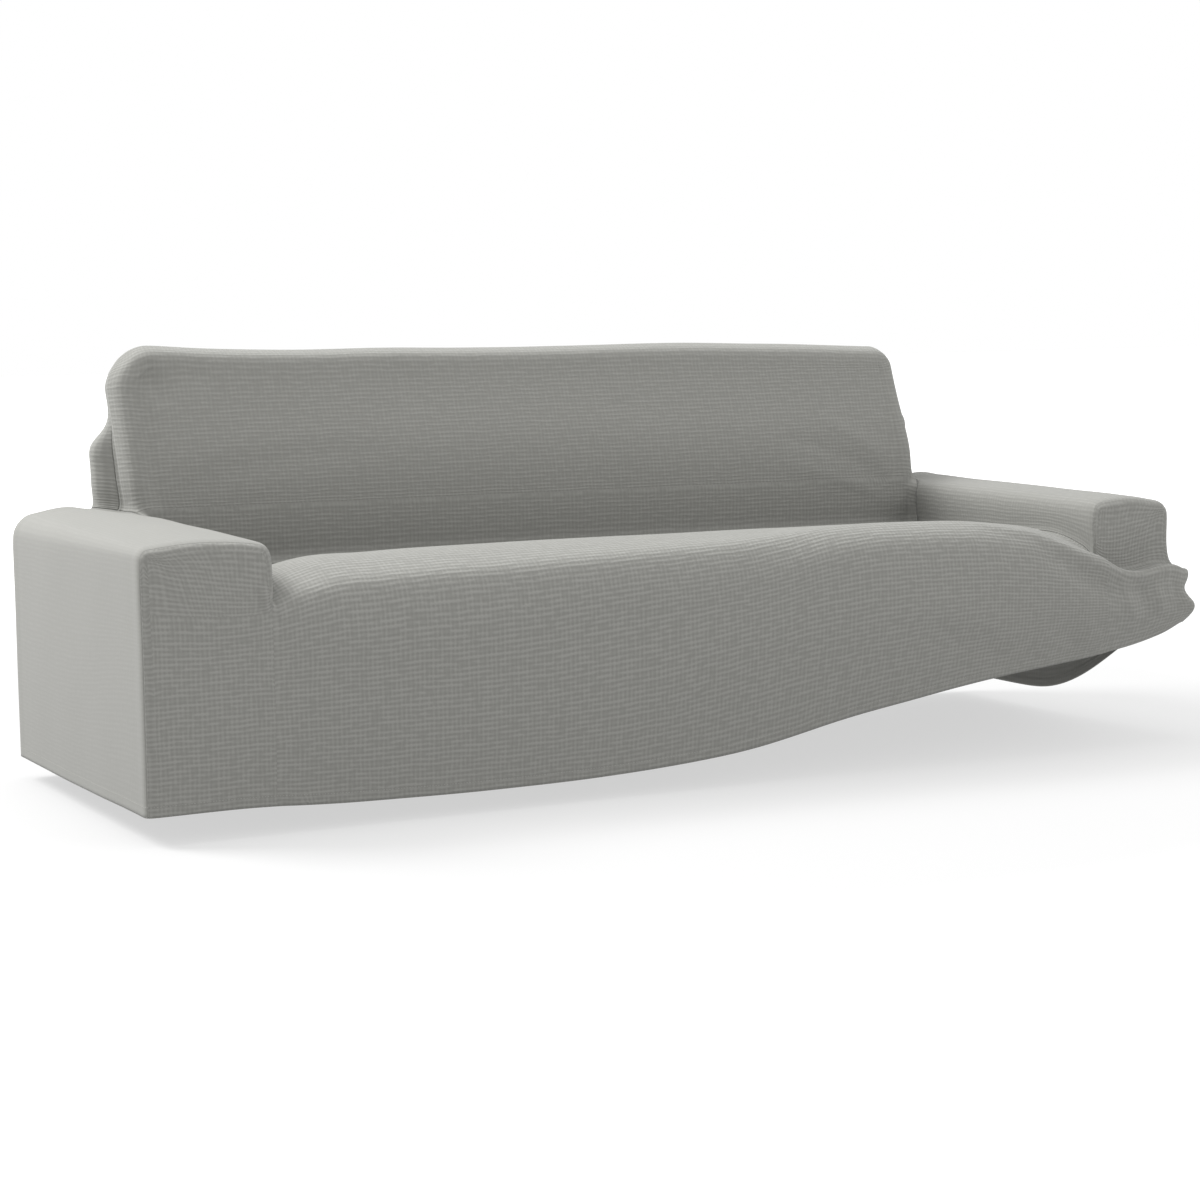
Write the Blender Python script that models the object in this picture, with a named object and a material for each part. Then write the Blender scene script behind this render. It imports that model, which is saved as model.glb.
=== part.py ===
"""Fitted stretch cover for a three-seat sofa, as it hangs on the sofa: five sewn panels of one grey cloth.

Sofa frame: metres, floor at z = 0, x across the seat, the front towards -Y. The finished panels hang from an
empty that puts the row's origin where the top of the sofa's back carries the cover. The front right corner is
pulled up and slack, as a cover looks before it is tucked down there.
"""

import bmesh
import bpy
import numpy as np
from math import cos, pi, sin
from mathutils import Vector

# Overall sizes of the dressed sofa
HALF_WIDTH = 1.200
FRONT_Y = -0.440
REAR_Y = 0.440
HEM_Z = 0.050
ARM_INNER = {-1: 0.940, 1: 0.953}  # from the centre line to the inner face of each arm
ARM_TOP = 0.551
SHEET = 0.003  # thickness of the knitted cloth
GAP = 0.0006  # left between two panels along a seam
RIM_LEAN = 0.0006  # how much further an edge is drawn back on the inside of the cloth
CORNER_CUT = 3  # a panel's corner is drawn back this many times as far as its edges

# Seat cushion's and arms' roundings
FRONT_ROUND = 0.014  # edge between an arm's front and its sides
TOP_FRONT_DROP = 0.018  # edge between an arm's front and its top: down the front
TOP_FRONT_DEPTH = 0.030  # and back over the top
REAR_ROUND = 0.030
INNER_ROUND = 0.030  # along an arm's inner top edge

# Back cushion, seen as a box with rounded edges whose flat core spans CORE_X either side and up to CORE_Z
CORE_X = 0.900
CORE_Z = 0.815
BACK_ROUND = 0.038
BACK_PUFF = 0.012
BACK_SEAM_Y = 0.410  # seam behind the top edge
BACK_REAR_Y = 0.430  # rear face behind the cushion
CUSHION_REAR_ROUND = 0.016
EDGE_CROWN = 0.003  # how far the cushion's edge bulges between its rounding and the seam
SEAM_DROP = 0.006  # from the top edge down to the seam behind it

# Low back frame that stands out beside the cushion on both sides
WING_X = {-1: 1.027, 1: 1.018}
WING_TUCK = 0.004  # how far its side is drawn in towards the cushion
WING_ROUND = 0.025
WING_FULL_Z = 0.700
WING_END_Z = 0.745

# What holds the cover: the top of the sofa's back, under the cloth
HOLD_Y = 0.380
HOLD_Z = 0.882

# Front cloth from the hem up, one row for each section across the sofa. Every point is (y, z).
# In the seat's sections brow and crest are the front and the top of the seat's edge; in front of an arm
# brow is the top of the slack fold and crest is where it tucks against the arm.
FRONT_FOLDS = (
    # x,      hem,             skirt,           belly,           brow,            crest
    (-1.200, (-0.440, 0.056), (-0.443, 0.170), (-0.443, 0.290), (-0.442, 0.370), (-0.440, 0.423)),
    (-0.940, (-0.440, 0.055), (-0.444, 0.170), (-0.444, 0.290), (-0.442, 0.370), (-0.440, 0.423)),
    (-0.860, (-0.440, 0.050), (-0.446, 0.170), (-0.448, 0.290), (-0.448, 0.380), (-0.435, 0.448)),
    (-0.700, (-0.440, 0.046), (-0.448, 0.170), (-0.450, 0.295), (-0.450, 0.390), (-0.433, 0.460)),
    (-0.450, (-0.440, 0.044), (-0.450, 0.170), (-0.453, 0.300), (-0.451, 0.400), (-0.433, 0.466)),
    (-0.120, (-0.442, 0.054), (-0.456, 0.190), (-0.462, 0.330), (-0.457, 0.425), (-0.434, 0.479)),
    (0.100, (-0.446, 0.076), (-0.468, 0.230), (-0.476, 0.360), (-0.466, 0.440), (-0.434, 0.490)),
    (0.300, (-0.450, 0.118), (-0.478, 0.260), (-0.487, 0.395), (-0.466, 0.480), (-0.420, 0.512)),
    (0.500, (-0.453, 0.150), (-0.486, 0.280), (-0.494, 0.400), (-0.471, 0.485), (-0.420, 0.515)),
    (0.700, (-0.456, 0.180), (-0.490, 0.290), (-0.497, 0.395), (-0.474, 0.475), (-0.425, 0.505)),
    (0.860, (-0.457, 0.196), (-0.490, 0.290), (-0.496, 0.375), (-0.480, 0.446), (-0.440, 0.472)),
    (0.953, (-0.458, 0.208), (-0.488, 0.290), (-0.493, 0.365), (-0.477, 0.423), (-0.446, 0.417)),
    (1.000, (-0.458, 0.216), (-0.486, 0.290), (-0.491, 0.352), (-0.479, 0.395), (-0.443, 0.393)),
    (1.050, (-0.458, 0.224), (-0.484, 0.290), (-0.490, 0.347), (-0.479, 0.386), (-0.443, 0.385)),
    (1.130, (-0.459, 0.243), (-0.484, 0.300), (-0.491, 0.355), (-0.480, 0.400), (-0.443, 0.393)),
    (1.200, (-0.460, 0.266), (-0.480, 0.300), (-0.484, 0.345), (-0.474, 0.385), (-0.445, 0.388)),
)

# Seat cloth behind the crest, back to where it meets the inside back
SEAT_FOLDS = (
    # x,      foot,            seat,            crease
    (-0.940, (-0.365, 0.457), (-0.070, 0.450), (0.267, 0.443)),
    (-0.860, (-0.350, 0.492), (-0.070, 0.459), (0.266, 0.444)),
    (-0.700, (-0.345, 0.503), (-0.070, 0.466), (0.264, 0.445)),
    (-0.450, (-0.340, 0.507), (-0.070, 0.470), (0.262, 0.446)),
    (-0.120, (-0.340, 0.509), (-0.070, 0.470), (0.262, 0.446)),
    (0.100, (-0.340, 0.510), (-0.070, 0.470), (0.262, 0.446)),
    (0.300, (-0.345, 0.514), (-0.070, 0.472), (0.262, 0.446)),
    (0.500, (-0.345, 0.512), (-0.070, 0.474), (0.262, 0.446)),
    (0.700, (-0.350, 0.494), (-0.070, 0.474), (0.264, 0.446)),
    (0.860, (-0.385, 0.464), (-0.070, 0.468), (0.266, 0.446)),
    (0.953, (-0.410, 0.438), (-0.070, 0.455), (0.267, 0.442)),
)

# Top outline of the back, uneven as the cloth lies
BACK_TOPS = (
    # x,     z
    (-0.900, 0.905),
    (-0.700, 0.893),
    (-0.410, 0.890),
    (0.025, 0.885),
    (0.350, 0.886),
    (0.660, 0.878),
    (0.900, 0.868),
)

# Side view of the back's face: it stands up between the arms and leans back above them
BACK_FACE = (
    # z,    y
    (0.440, 0.266),
    (0.550, 0.277),
    (0.660, 0.301),
    (0.790, 0.334),
    (0.870, 0.350),
)

# Ends of the back cushion: half width on the left and the right, and how far back its end runs
BACK_ENDS = (
    # z,    left,  right, end_y
    (0.540, 0.981, 0.984, 0.333),
    (0.665, 0.984, 0.976, 0.362),
    (0.738, 0.987, 0.967, 0.385),
    (0.815, 0.991, 0.960, 0.405),
)

# How far the bunched cloth at the slack corner stands out sideways, for each row up from the hem
CORNER_GATHER = (0.006, 0.020, 0.025, 0.013, 0.004, 0.015, 0.019, 0.000)
SLACK_REACH = 0.520  # along the side, from the slack corner to where the hem is down again

# Arms: top height and outer half width at the front and the rear, and the rounding of the outer top edge
ARMS = {
    "arm_left": {
        "side": -1, "top": (0.556, 0.564), "outer": (1.200, 1.200), "round": (0.024, 0.056),
        "drop": 0.000, "gather": 0.0,
    },
    "arm_right": {
        "side": 1, "top": (0.544, 0.553), "outer": (1.163, 1.182), "round": (0.034, 0.056),
        "drop": 0.005, "gather": 1.0,
    },
}
ARM_CROWN = 0.008
LEAN_FROM_Z = 0.120  # above this an arm's outer side leans in towards its top
PLAIN_CREST_Z = 0.423  # height of the crest's row where the cloth hangs plain
BACK_FOOT_Y = 0.260  # where the back's face stands on the arms

# Where the rows and columns of the cloth's faces run
FRONT_ROWS = (0, 0.5, 1, 1.5, 2, 2.5, 3, 4)  # along hem, skirt, belly, brow, crest
SEAT_ROWS = (4, 4.35, 4.7, 5, 5.25, 5.5, 5.75, 6, 6.33, 6.67, 7)  # along crest, foot, seat, crease
CORE_COLUMNS = 20
MARGIN = 6  # columns round each end of the back, rows over its top
TURN = 3  # of these, the ones in front of the rounded edge's middle
ARM_COLUMNS = 6
STATIONS_Y = (
    -0.402, -0.375, -0.320, -0.245, -0.160, -0.065, 0.050, 0.165, 0.285, 0.310, 0.335, 0.360, 0.385, 0.410
)
BACK_ROWS_Z = (0.610, 0.660, 0.700, 0.745, CORE_Z)
FACING = 0.6  # the least that a face may agree with the direction across the cloth at its corners
HALF_TURN = 1 - cos(pi / 4)  # of a rounding's radius, at the middle of its quarter circle

CLOTH_COLOUR = (0.300, 0.300, 0.282, 1.0)
CLOTH_ROUGHNESS = 0.92


def through(knots, values, at):
    """The smooth curve through values at knots, read at the places given."""
    knots = np.asarray(knots, float)
    values = np.asarray(values, float)
    slopes = np.gradient(values, knots, axis=0)
    at = np.clip(at, knots[0], knots[-1])
    i = np.clip(np.searchsorted(knots, at, side="right") - 1, 0, len(knots) - 2)
    span = knots[i + 1] - knots[i]
    t = (at - knots[i]) / span
    if values.ndim > 1:
        span, t = span[:, None], t[:, None]
    return (
        values[i] * (1 + 2 * t) * (1 - t) ** 2
        + slopes[i] * span * t * (1 - t) ** 2
        + values[i + 1] * t * t * (3 - 2 * t)
        + slopes[i + 1] * span * t * t * (t - 1)
    )


def ease(t):
    """0 below 0, 1 above 1 and a soft step between."""
    t = np.clip(t, 0.0, 1.0)
    return t * t * (3 - 2 * t)


def mix(a, b, t):
    return a + (b - a) * t


def column(table, index):
    return [row[index] for row in table]


def front_line(x, rows):
    """Points of the front and seat cloth at one x, for row numbers along the named points."""
    on_seat = -ARM_INNER[-1] - 1e-6 <= x <= ARM_INNER[1] + 1e-6
    points = [through(column(FRONT_FOLDS, 0), column(FRONT_FOLDS, i), [x])[0] for i in range(1, 6)]
    if on_seat:
        points += [through(column(SEAT_FOLDS, 0), column(SEAT_FOLDS, i), [x])[0] for i in range(1, 4)]
    points = np.array(points)
    lengths = np.concatenate(([0.0], np.cumsum(np.linalg.norm(np.diff(points, axis=0), axis=1))))
    at = np.interp(rows, range(len(points)), lengths)
    yz = through(lengths, points, at)
    return np.column_stack((np.full(len(rows), x), yz))


def patch_between(low, high, left, right):
    """A grid of points filled in from its four edge lines; low and high run from left to right."""
    low, high, left, right = (np.asarray(line) for line in (low, high, left, right))
    u = np.linspace(0, 1, len(low))[None, :, None]
    v = np.linspace(0, 1, len(left))[:, None, None]
    ruled = mix(low[None], high[None], v) + mix(left[:, None], right[:, None], u)
    corners = mix(mix(low[0], low[-1], u), mix(high[0], high[-1], u), v)
    return ruled - corners


# ---- Arms -------------------------------------------------------------------------------------------------
# An arm's section is a path from the hem up its outer side, over the top and down its inner side. Numbers on
# it: 0 to 7 the rows of the front cloth, 8 to 12 the outer rounding, 15 the start of the inner rounding,
# 17 its end and 19 the seat's crease.
TOP_START, TOP_END, CREASE_AT = 12, 15, 19
CAP_CORNER = 10  # on a front or rear cap, where the side edge becomes the top edge
ON_TOP = (0, 0.25, 0.5, 0.75, 1, 1, 1, 1, 0.5, 0)  # how far path numbers 8 to 17 belong to the top


def along(pair, y):
    """A size that changes evenly from the front of the sofa to its rear."""
    return mix(pair[0], pair[1], (y - FRONT_Y) / (REAR_Y - FRONT_Y))


def outer_x(arm, y, z):
    """Half width of the cover beside an arm: it leans in from the hem to the top edge."""
    top = along(arm["outer"], y)
    start = along(arm["top"], y) - along(arm["round"], y)
    return mix(HALF_WIDTH, top, ease((z - LEAN_FROM_Z) / (start - LEAN_FROM_Z)))


def arm_over(arm, y, side_inset=0.0, top_inset=0.0):
    """Path numbers 8 to 17 of an arm's section at y, drawn in by the insets: x outwards, z."""
    top = along(arm["top"], y)
    outer = along(arm["outer"], y)
    radius = along(arm["round"], y)
    low = top - arm["drop"]
    inner = ARM_INNER[arm["side"]]
    insets = [mix(side_inset, top_inset, share) for share in ON_TOP]
    points = []
    for step in range(5):
        turn = step * pi / 8
        left = radius - insets[step]
        points.append((outer - radius + left * cos(turn), low - radius + left * sin(turn)))
    for step in range(1, 4):
        t = step / 3
        crown = ARM_CROWN * 4 * t * (1 - t)
        points.append((mix(outer - radius, inner + INNER_ROUND, t), mix(low, top, t) - top_inset + crown))
    for turn, inset in ((pi / 4, insets[-2]), (0, insets[-1])):
        left = INNER_ROUND - inset
        points.append((inner + INNER_ROUND - left * cos(turn), top - INNER_ROUND + left * sin(turn)))
    return points


def arm_lines(arm, seat_edge, tops):
    """Points of an arm by station and path number: front cap's edge, the stations and the rear cap's edge.

    seat_edge holds the points of the seat's crease beside the arm. tops holds the points where the arm's
    top meets the back, the low frame and the rear, from the back's front face to the rear seam.
    """
    side = arm["side"]
    front_x = outer_x(arm, FRONT_Y, 0.0)
    front = front_line(side * front_x, FRONT_ROWS)
    slack_rows = front[:, 2]
    plain_rows = np.array([mix(HEM_Z, PLAIN_CREST_Z, row / FRONT_ROWS[-1]) for row in FRONT_ROWS])
    gather = np.array(CORNER_GATHER) * arm["gather"]
    stations = []

    # round the front edge: how much of its drop and of its depth is reached
    for drop, depth in ((1.0, 0.0), (HALF_TURN, HALF_TURN), (0.0, 1.0)):
        inset = drop * FRONT_ROUND
        line = [
            (outer_x(arm, FRONT_Y, z) - inset + bulge, front[row, 1] + depth * FRONT_ROUND, z)
            for row, (z, bulge) in enumerate(zip(slack_rows, gather))
        ]
        over = arm_over(arm, FRONT_Y, inset, drop * TOP_FRONT_DROP)
        for (x, z), share in zip(over, ON_TOP):
            line.append((x, FRONT_Y + depth * mix(FRONT_ROUND, TOP_FRONT_DEPTH, share), z))
        stations.append(line)
    for y in STATIONS_Y:
        down = ease((y - FRONT_Y) / SLACK_REACH)
        rows = mix(slack_rows, plain_rows, down)
        line = [(outer_x(arm, y, z) + bulge * (1 - down), y, z) for z, bulge in zip(rows, gather)]
        line += [(x, y, z) for x, z in arm_over(arm, y)]
        stations.append(line)
    for inset, back in ((REAR_ROUND * HALF_TURN, REAR_ROUND * HALF_TURN), (REAR_ROUND, 0.0)):
        y = REAR_Y - back
        line = [(outer_x(arm, REAR_Y, z) - inset, y, z) for z in plain_rows]
        line += [(x, y, z) for x, z in arm_over(arm, REAR_Y, inset, inset)]
        stations.append(line)

    stations = [np.array([(side * x, y, z) for x, y, z in line]) for line in stations]
    # the inner side goes down to the seat's crease, and the front rounding dies out at the slit's foot
    last_inner = len(seat_edge)
    for number in range(last_inner + 1):
        foot = seat_edge[max(number - 1, 0)]
        middle = mix(stations[number][-1], foot, 0.5)
        stations[number] = np.vstack((stations[number], middle, foot))
    for point in stations[last_inner][TOP_END + 1 : CREASE_AT]:
        point[1] = back_front_y(point[0], point[2])
    # behind the back's front face the top ends where it meets the back
    for number, point in enumerate(tops):
        station = last_inner + number
        line = stations[station]
        line[TOP_END] = point
        for t, at in ((1 / 3, 13), (2 / 3, 14)):
            crown = ARM_CROWN * 4 * t * (1 - t)
            line[at] = mix(line[TOP_START], line[TOP_END], t) + (0, 0, crown)
    return stations


# ---- Back -------------------------------------------------------------------------------------------------


def back_front_y(x, z):
    """The inside back's face: it leans back and is a little fuller in the middle."""
    low, high = BACK_FACE[0][0], BACK_FACE[-1][0]
    puff = sin(pi * np.clip((z - low) / (high - low), 0, 1)) * max(0.0, 1 - x**4)
    return through(column(BACK_FACE, 0), column(BACK_FACE, 1), [z])[0] - BACK_PUFF * puff


def end_out(side, z):
    """How far an end of the back stands out from the core, and the y where its cloth ends."""
    width = through(column(BACK_ENDS, 0), column(BACK_ENDS, 1 if side < 0 else 2), [z])[0]
    return width - CORE_X, through(column(BACK_ENDS, 0), column(BACK_ENDS, 3), [z])[0]


def top_out(x):
    return through(column(BACK_TOPS, 0), column(BACK_TOPS, 1), [x])[0] - CORE_Z


def front_wrap(out, face_y, seam_y):
    """Steps outwards and backwards over a rounded edge of the inside back: (out, y) for each step."""
    r = BACK_ROUND
    return (
        (0.0, face_y),
        ((out - r) / 2, face_y),
        (out - r, face_y),
        (out - r * HALF_TURN, face_y + r * HALF_TURN),
        (out, face_y + r),
        (out + EDGE_CROWN, mix(face_y + r, seam_y, 0.55)),
        (out, seam_y),
    )


def rear_wrap(out, rear_y, seam_y, wing_out=0.0, wing=0.0):
    """The same over an edge of the outside back; wing is 1 where the low frame stands out beside the cushion."""
    r = mix(CUSHION_REAR_ROUND, WING_ROUND, wing)
    reach = mix(out, wing_out, wing)
    return (
        (0.0, rear_y),
        ((reach - r) / 2, rear_y),
        (reach - r, rear_y),
        (reach - r * HALF_TURN, rear_y - r * HALF_TURN),
        (reach, rear_y - r),
        (mix(mix(reach, out, 0.5), reach - WING_TUCK, wing), mix(rear_y - r, seam_y, 0.55)),
        (out, seam_y),
    )


def round_corner(i, j):
    """Which step of the wrap a place in a corner's block is on, and its direction from side (0) to top (1)."""
    step = max(i, j)
    if step == 0:
        return 0, 0.0
    return step, (j / i / 2 if i >= j else 1 - i / j / 2)


def lid_rows(front):
    """Points of the inside back (front) or the outside back above the arms, by row and column.

    Columns run from the left seam over the core to the right seam; rows from the arm tops to the top seam.
    """
    core_xs = np.linspace(-CORE_X, CORE_X, CORE_COLUMNS + 1)

    def wraps(side, z):
        out, seam_y = end_out(side, z)
        if front:
            return front_wrap(out, back_front_y(side * CORE_X, z), seam_y)
        wing = 1 - ease((z - WING_FULL_Z) / (WING_END_Z - WING_FULL_Z))
        return rear_wrap(out, mix(BACK_REAR_Y, REAR_Y, wing), seam_y, WING_X[side] - CORE_X, wing)

    def over(x):
        out = top_out(x)
        if front:
            edge_z = CORE_Z + out - BACK_ROUND
            steps = list(front_wrap(out, back_front_y(x, edge_z), BACK_SEAM_Y))
            steps[0] = (0.0, back_front_y(x, CORE_Z))
            steps[1] = (steps[1][0], back_front_y(x, CORE_Z + steps[1][0]))
        else:
            steps = list(rear_wrap(out - SEAM_DROP, BACK_REAR_Y, BACK_SEAM_Y))
        steps[MARGIN] = (out - SEAM_DROP, BACK_SEAM_Y)
        return steps

    rows = []
    for z in (ARM_TOP,) + BACK_ROWS_Z:
        left = [(-CORE_X - out, y, z) for out, y in wraps(-1, z)]
        right = [(CORE_X + out, y, z) for out, y in wraps(1, z)]
        core = []
        for x in core_xs[1:-1]:
            if front:
                core.append((x, back_front_y(x, z), z))
            else:
                core.append((x, left[0][1], z))
        rows.append(left[::-1] + core + right)
    for step in range(1, MARGIN + 1):
        row = []
        for x in core_xs:
            out, y = over(x)[step]
            row.append((x, y, CORE_Z + out))
        for side in (-1, 1):
            side_steps = wraps(side, CORE_Z)
            top_steps = over(side * CORE_X)
            corner = []
            for away in range(1, MARGIN + 1):
                number, turn = round_corner(away, step)
                out, y = mix(np.array(side_steps[number]), np.array(top_steps[number]), turn)
                angle = turn * pi / 2
                corner.append((side * (CORE_X + out * cos(angle)), y, CORE_Z + out * sin(angle)))
            row = corner[::-1] + row if side < 0 else row + corner
        rows.append(row)
    return np.array(rows)


# ---- The cover's one surface ------------------------------------------------------------------------------


class Cover:
    """Faces of the whole cover's outer surface, each marked with the panel that it belongs to."""

    def __init__(self):
        self.mesh = bmesh.new()
        self.panel = self.mesh.faces.layers.int.new("panel")

    def add(self, grid, panel):
        """Add a grid of points as faces of one panel; faces that have closed to a line are left out."""
        verts = [[self.mesh.verts.new(point) for point in row] for row in grid]
        for row in range(len(grid) - 1):
            for col in range(len(grid[0]) - 1):
                corners = (
                    verts[row][col], verts[row][col + 1], verts[row + 1][col + 1], verts[row + 1][col]
                )
                self.mesh.faces.new(corners)[self.panel] = panel

    def close(self):
        """Join the grids along their shared edges and turn every face outwards."""
        bmesh.ops.remove_doubles(self.mesh, verts=self.mesh.verts, dist=1e-5)
        bmesh.ops.recalc_face_normals(self.mesh, faces=self.mesh.faces)
        front = min(self.mesh.faces, key=lambda face: face.calc_center_median().y)
        if front.normal.y > 0:
            bmesh.ops.reverse_faces(self.mesh, faces=self.mesh.faces)
        self.mesh.normal_update()
        self.mesh.verts.index_update()

    def outwards(self, vert):
        """The direction across the cloth at a point, turned until every face round it agrees with it."""
        direction = vert.normal.copy()
        for _ in range(40):
            worst = min((face.normal for face in vert.link_faces), key=direction.dot)
            if direction.dot(worst) > FACING:
                break
            direction = (direction + worst * 0.1).normalized()
        return direction


PANELS = ("seat_and_front", "arm_left", "arm_right", "inside_back", "outside_back")


def build_cover():
    cover = Cover()
    core_xs = list(np.linspace(-CORE_X, CORE_X, CORE_COLUMNS + 1))
    steps = range(1, TURN + 1)
    beside = {side: [side * mix(CORE_X, ARM_INNER[side], step / TURN) for step in steps] for side in (-1, 1)}
    seat_xs = beside[-1][::-1] + core_xs + beside[1]
    front_lid = lid_rows(True)
    rear_lid = lid_rows(False)
    seat = np.array([front_line(x, FRONT_ROWS + SEAT_ROWS[1:]) for x in seat_xs])
    crest_row = len(FRONT_ROWS) - 1

    # the seams that the arms share with the back: the end's foot, then the low frame's foot to the rear
    arm_points = {}
    foot_xs = (front_lid[0][TURN][0], front_lid[0][-1 - TURN][0])
    feet = [along(arm["top"], BACK_FOOT_Y) for arm in ARMS.values()]
    front_lid[0][:, 2] = np.interp(front_lid[0][:, 0], foot_xs, feet)
    for point in front_lid[0][TURN + 1 : -TURN - 1]:
        point[1] = back_front_y(point[0], point[2])
    for name, arm in ARMS.items():
        left = arm["side"] < 0
        front_row = front_lid[0] if left else front_lid[0][::-1]
        rear_row = rear_lid[0] if left else rear_lid[0][::-1]
        rear_row[: TURN, 2] = along(arm["top"], REAR_Y)
        rear_row[0, 2] = front_row[0, 2]
        rear_row[TURN, 2] = along(arm["top"], REAR_Y) - REAR_ROUND * HALF_TURN
        rear_row[TURN + 1 : len(rear_row) // 2 + 1, 2] = ARM_TOP - REAR_ROUND
        tops = [front_row[MARGIN - step] for step in range(TURN, MARGIN + 1)]
        tops += [rear_row[step] for step in range(1, MARGIN - TURN + 1)]
        edge = seat[0 if left else -1][crest_row:]
        arm_points[name] = arm_lines(arm, edge, tops)

    # front apron and seat: one length of cloth from the hem to the inside back
    seat_and_front = PANELS.index("seat_and_front")
    cover.add(seat, seat_and_front)

    for name, arm in ARMS.items():
        lines = arm_points[name]
        panel = PANELS.index(name)
        cap = lines[0]
        inner_column = seat[0 if arm["side"] < 0 else -1][: crest_row + 1]
        # the cloth in front of the arm: up to the slit's foot, then the tab that closes the arm's front
        apron_xs = np.linspace(HALF_WIDTH - FRONT_ROUND, ARM_INNER[arm["side"]], ARM_COLUMNS + 1)
        apron = np.array([front_line(arm["side"] * x, FRONT_ROWS) for x in apron_xs])
        for col in range(ARM_COLUMNS + 1):
            apron[col, :, 0] = mix(cap[: crest_row + 1, 0], inner_column[:, 0], col / ARM_COLUMNS)
        apron[0] = cap[: crest_row + 1]
        apron[-1] = inner_column
        cover.add(apron, seat_and_front)
        tab = patch_between(
            apron[:, -1], cap[CAP_CORNER : CAP_CORNER + ARM_COLUMNS + 1],
            cap[crest_row : CAP_CORNER + 1], cap[[19, 18, 17, 16]],
        )
        cover.add(tab, seat_and_front)
        cover.add(lines[:2], seat_and_front)
        # the arm's own strip, and the part of it that goes down its inner side
        outer = [line[: TOP_END + 1] for line in lines[1:-1]]
        cover.add(outer, panel)
        inner = [line[TOP_END:] for line in lines[1 : len(SEAT_ROWS) + 1]]
        cover.add(inner, panel)

    # inside back: below the arms' tops it lies between the arms, above them it wraps both ends
    inside = PANELS.index("inside_back")
    cover.add(front_lid, inside)
    left_edge = arm_points["arm_left"][len(SEAT_ROWS)][TOP_END:][::-1]
    right_edge = arm_points["arm_right"][len(SEAT_ROWS)][TOP_END:][::-1]
    foot = seat[:, -1]
    low_row = front_lid[0][MARGIN - TURN : len(front_lid[0]) - (MARGIN - TURN)]
    heights = (left_edge[:, 2] - left_edge[0, 2]) / (left_edge[-1, 2] - left_edge[0, 2])
    band = []
    for row, height in enumerate(heights):
        flat = mix(foot[:, [0, 2]], low_row[:, [0, 2]], height)
        line = np.array([(x, back_front_y(x, z), z) for x, z in flat])
        line[0], line[-1] = left_edge[row], right_edge[row]
        band.append(line)
    band[0], band[-1] = foot, low_row
    cover.add(band, inside)

    # outside back: above the arms it wraps the low frame, below it is the full width down to the hem
    outside = PANELS.index("outside_back")
    cover.add(rear_lid, outside)
    past_frame = MARGIN - 2
    skirt_top = rear_lid[0][past_frame : len(rear_lid[0]) - past_frame]
    skirt = np.array([
        [(x, REAR_Y, mix(HEM_Z, z, row / CAP_CORNER)) for row in range(CAP_CORNER + 1)]
        for x, y, z in skirt_top
    ])
    cover.add(skirt, outside)
    for name, arm in ARMS.items():
        lines = arm_points[name]
        cap = lines[-1]
        inner_column = skirt[0 if arm["side"] < 0 else -1]
        cap[TOP_END] = inner_column[-1]
        cover.add([line[: TOP_END + 1] for line in lines[-2:]], outside)
        top_line = cap[CAP_CORNER : TOP_END + 1]
        hem_line = [mix(cap[0], inner_column[0], share) for share in np.linspace(0, 1, len(top_line))]
        cover.add(patch_between(hem_line, top_line, cap[: CAP_CORNER + 1], inner_column), outside)
    cover.close()
    return cover


def panel_solid(cover, name, parent):
    """One panel of the surface as a closed sheet, its edges drawn back by half the gap along each seam."""
    number = PANELS.index(name)
    faces = [face for face in cover.mesh.faces if face[cover.panel] == number]
    verts = sorted({vert for face in faces for vert in face.verts}, key=lambda vert: vert.index)
    edge_faces = {}
    for face in faces:
        for edge in face.edges:
            edge_faces.setdefault(edge, []).append(face)
    inwards = {vert: [] for vert in verts}
    for edge, sides in edge_faces.items():
        if len(sides) == 1:
            a, b = edge.verts
            across = sides[0].normal.cross(b.co - a.co).normalized()
            if across.dot(sides[0].calc_center_median() - a.co) < 0:
                across.negate()
            inwards[a].append(across)
            inwards[b].append(across)

    sheet = bmesh.new()
    outer, inner = {}, {}
    for vert in verts:
        pulls = inwards[vert]
        pull = Vector()
        if pulls:
            total = sum(pulls[1:], pulls[0].copy())
            along_both = max(total.dot(total) / len(pulls), 0.2)
            pull = total / along_both
            if sum(face[cover.panel] == number for face in vert.link_faces) == 1:
                pull *= CORNER_CUT
        outer[vert] = sheet.verts.new(vert.co + pull * GAP / 2)
        inner[vert] = sheet.verts.new(vert.co + pull * (GAP / 2 + RIM_LEAN) - cover.outwards(vert) * SHEET)
    for face in faces:
        sheet.faces.new([outer[vert] for vert in face.verts])
        sheet.faces.new([inner[vert] for vert in reversed(face.verts)])
        for loop in face.loops:
            if len(edge_faces[loop.edge]) == 1:
                # both panels of a seam cut this strip along the same diagonal, so they can't cross
                a, b = loop.vert, loop.link_loop_next.vert
                if a.index < b.index:
                    sheet.faces.new((outer[b], outer[a], inner[b]))
                    sheet.faces.new((outer[a], inner[a], inner[b]))
                else:
                    sheet.faces.new((outer[b], outer[a], inner[a]))
                    sheet.faces.new((outer[b], inner[a], inner[b]))
    sheet.normal_update()
    mesh = bpy.data.meshes.new(name)
    sheet.to_mesh(mesh)
    sheet.free()
    mesh.shade_smooth()
    mesh.materials.append(cloth_material(name))
    panel = bpy.data.objects.new(name, mesh)
    panel.parent = parent
    bpy.context.collection.objects.link(panel)
    return panel


def cloth_material(name):
    """Matt grey knitted cloth."""
    material = bpy.data.materials.new(name + "_cloth")
    material.use_nodes = True
    shader = material.node_tree.nodes["Principled BSDF"]
    shader.inputs["Base Color"].default_value = CLOTH_COLOUR
    shader.inputs["Roughness"].default_value = CLOTH_ROUGHNESS
    shader.inputs["Metallic"].default_value = 0.0
    return material


for old in list(bpy.data.objects):
    bpy.data.objects.remove(old, do_unlink=True)

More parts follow.
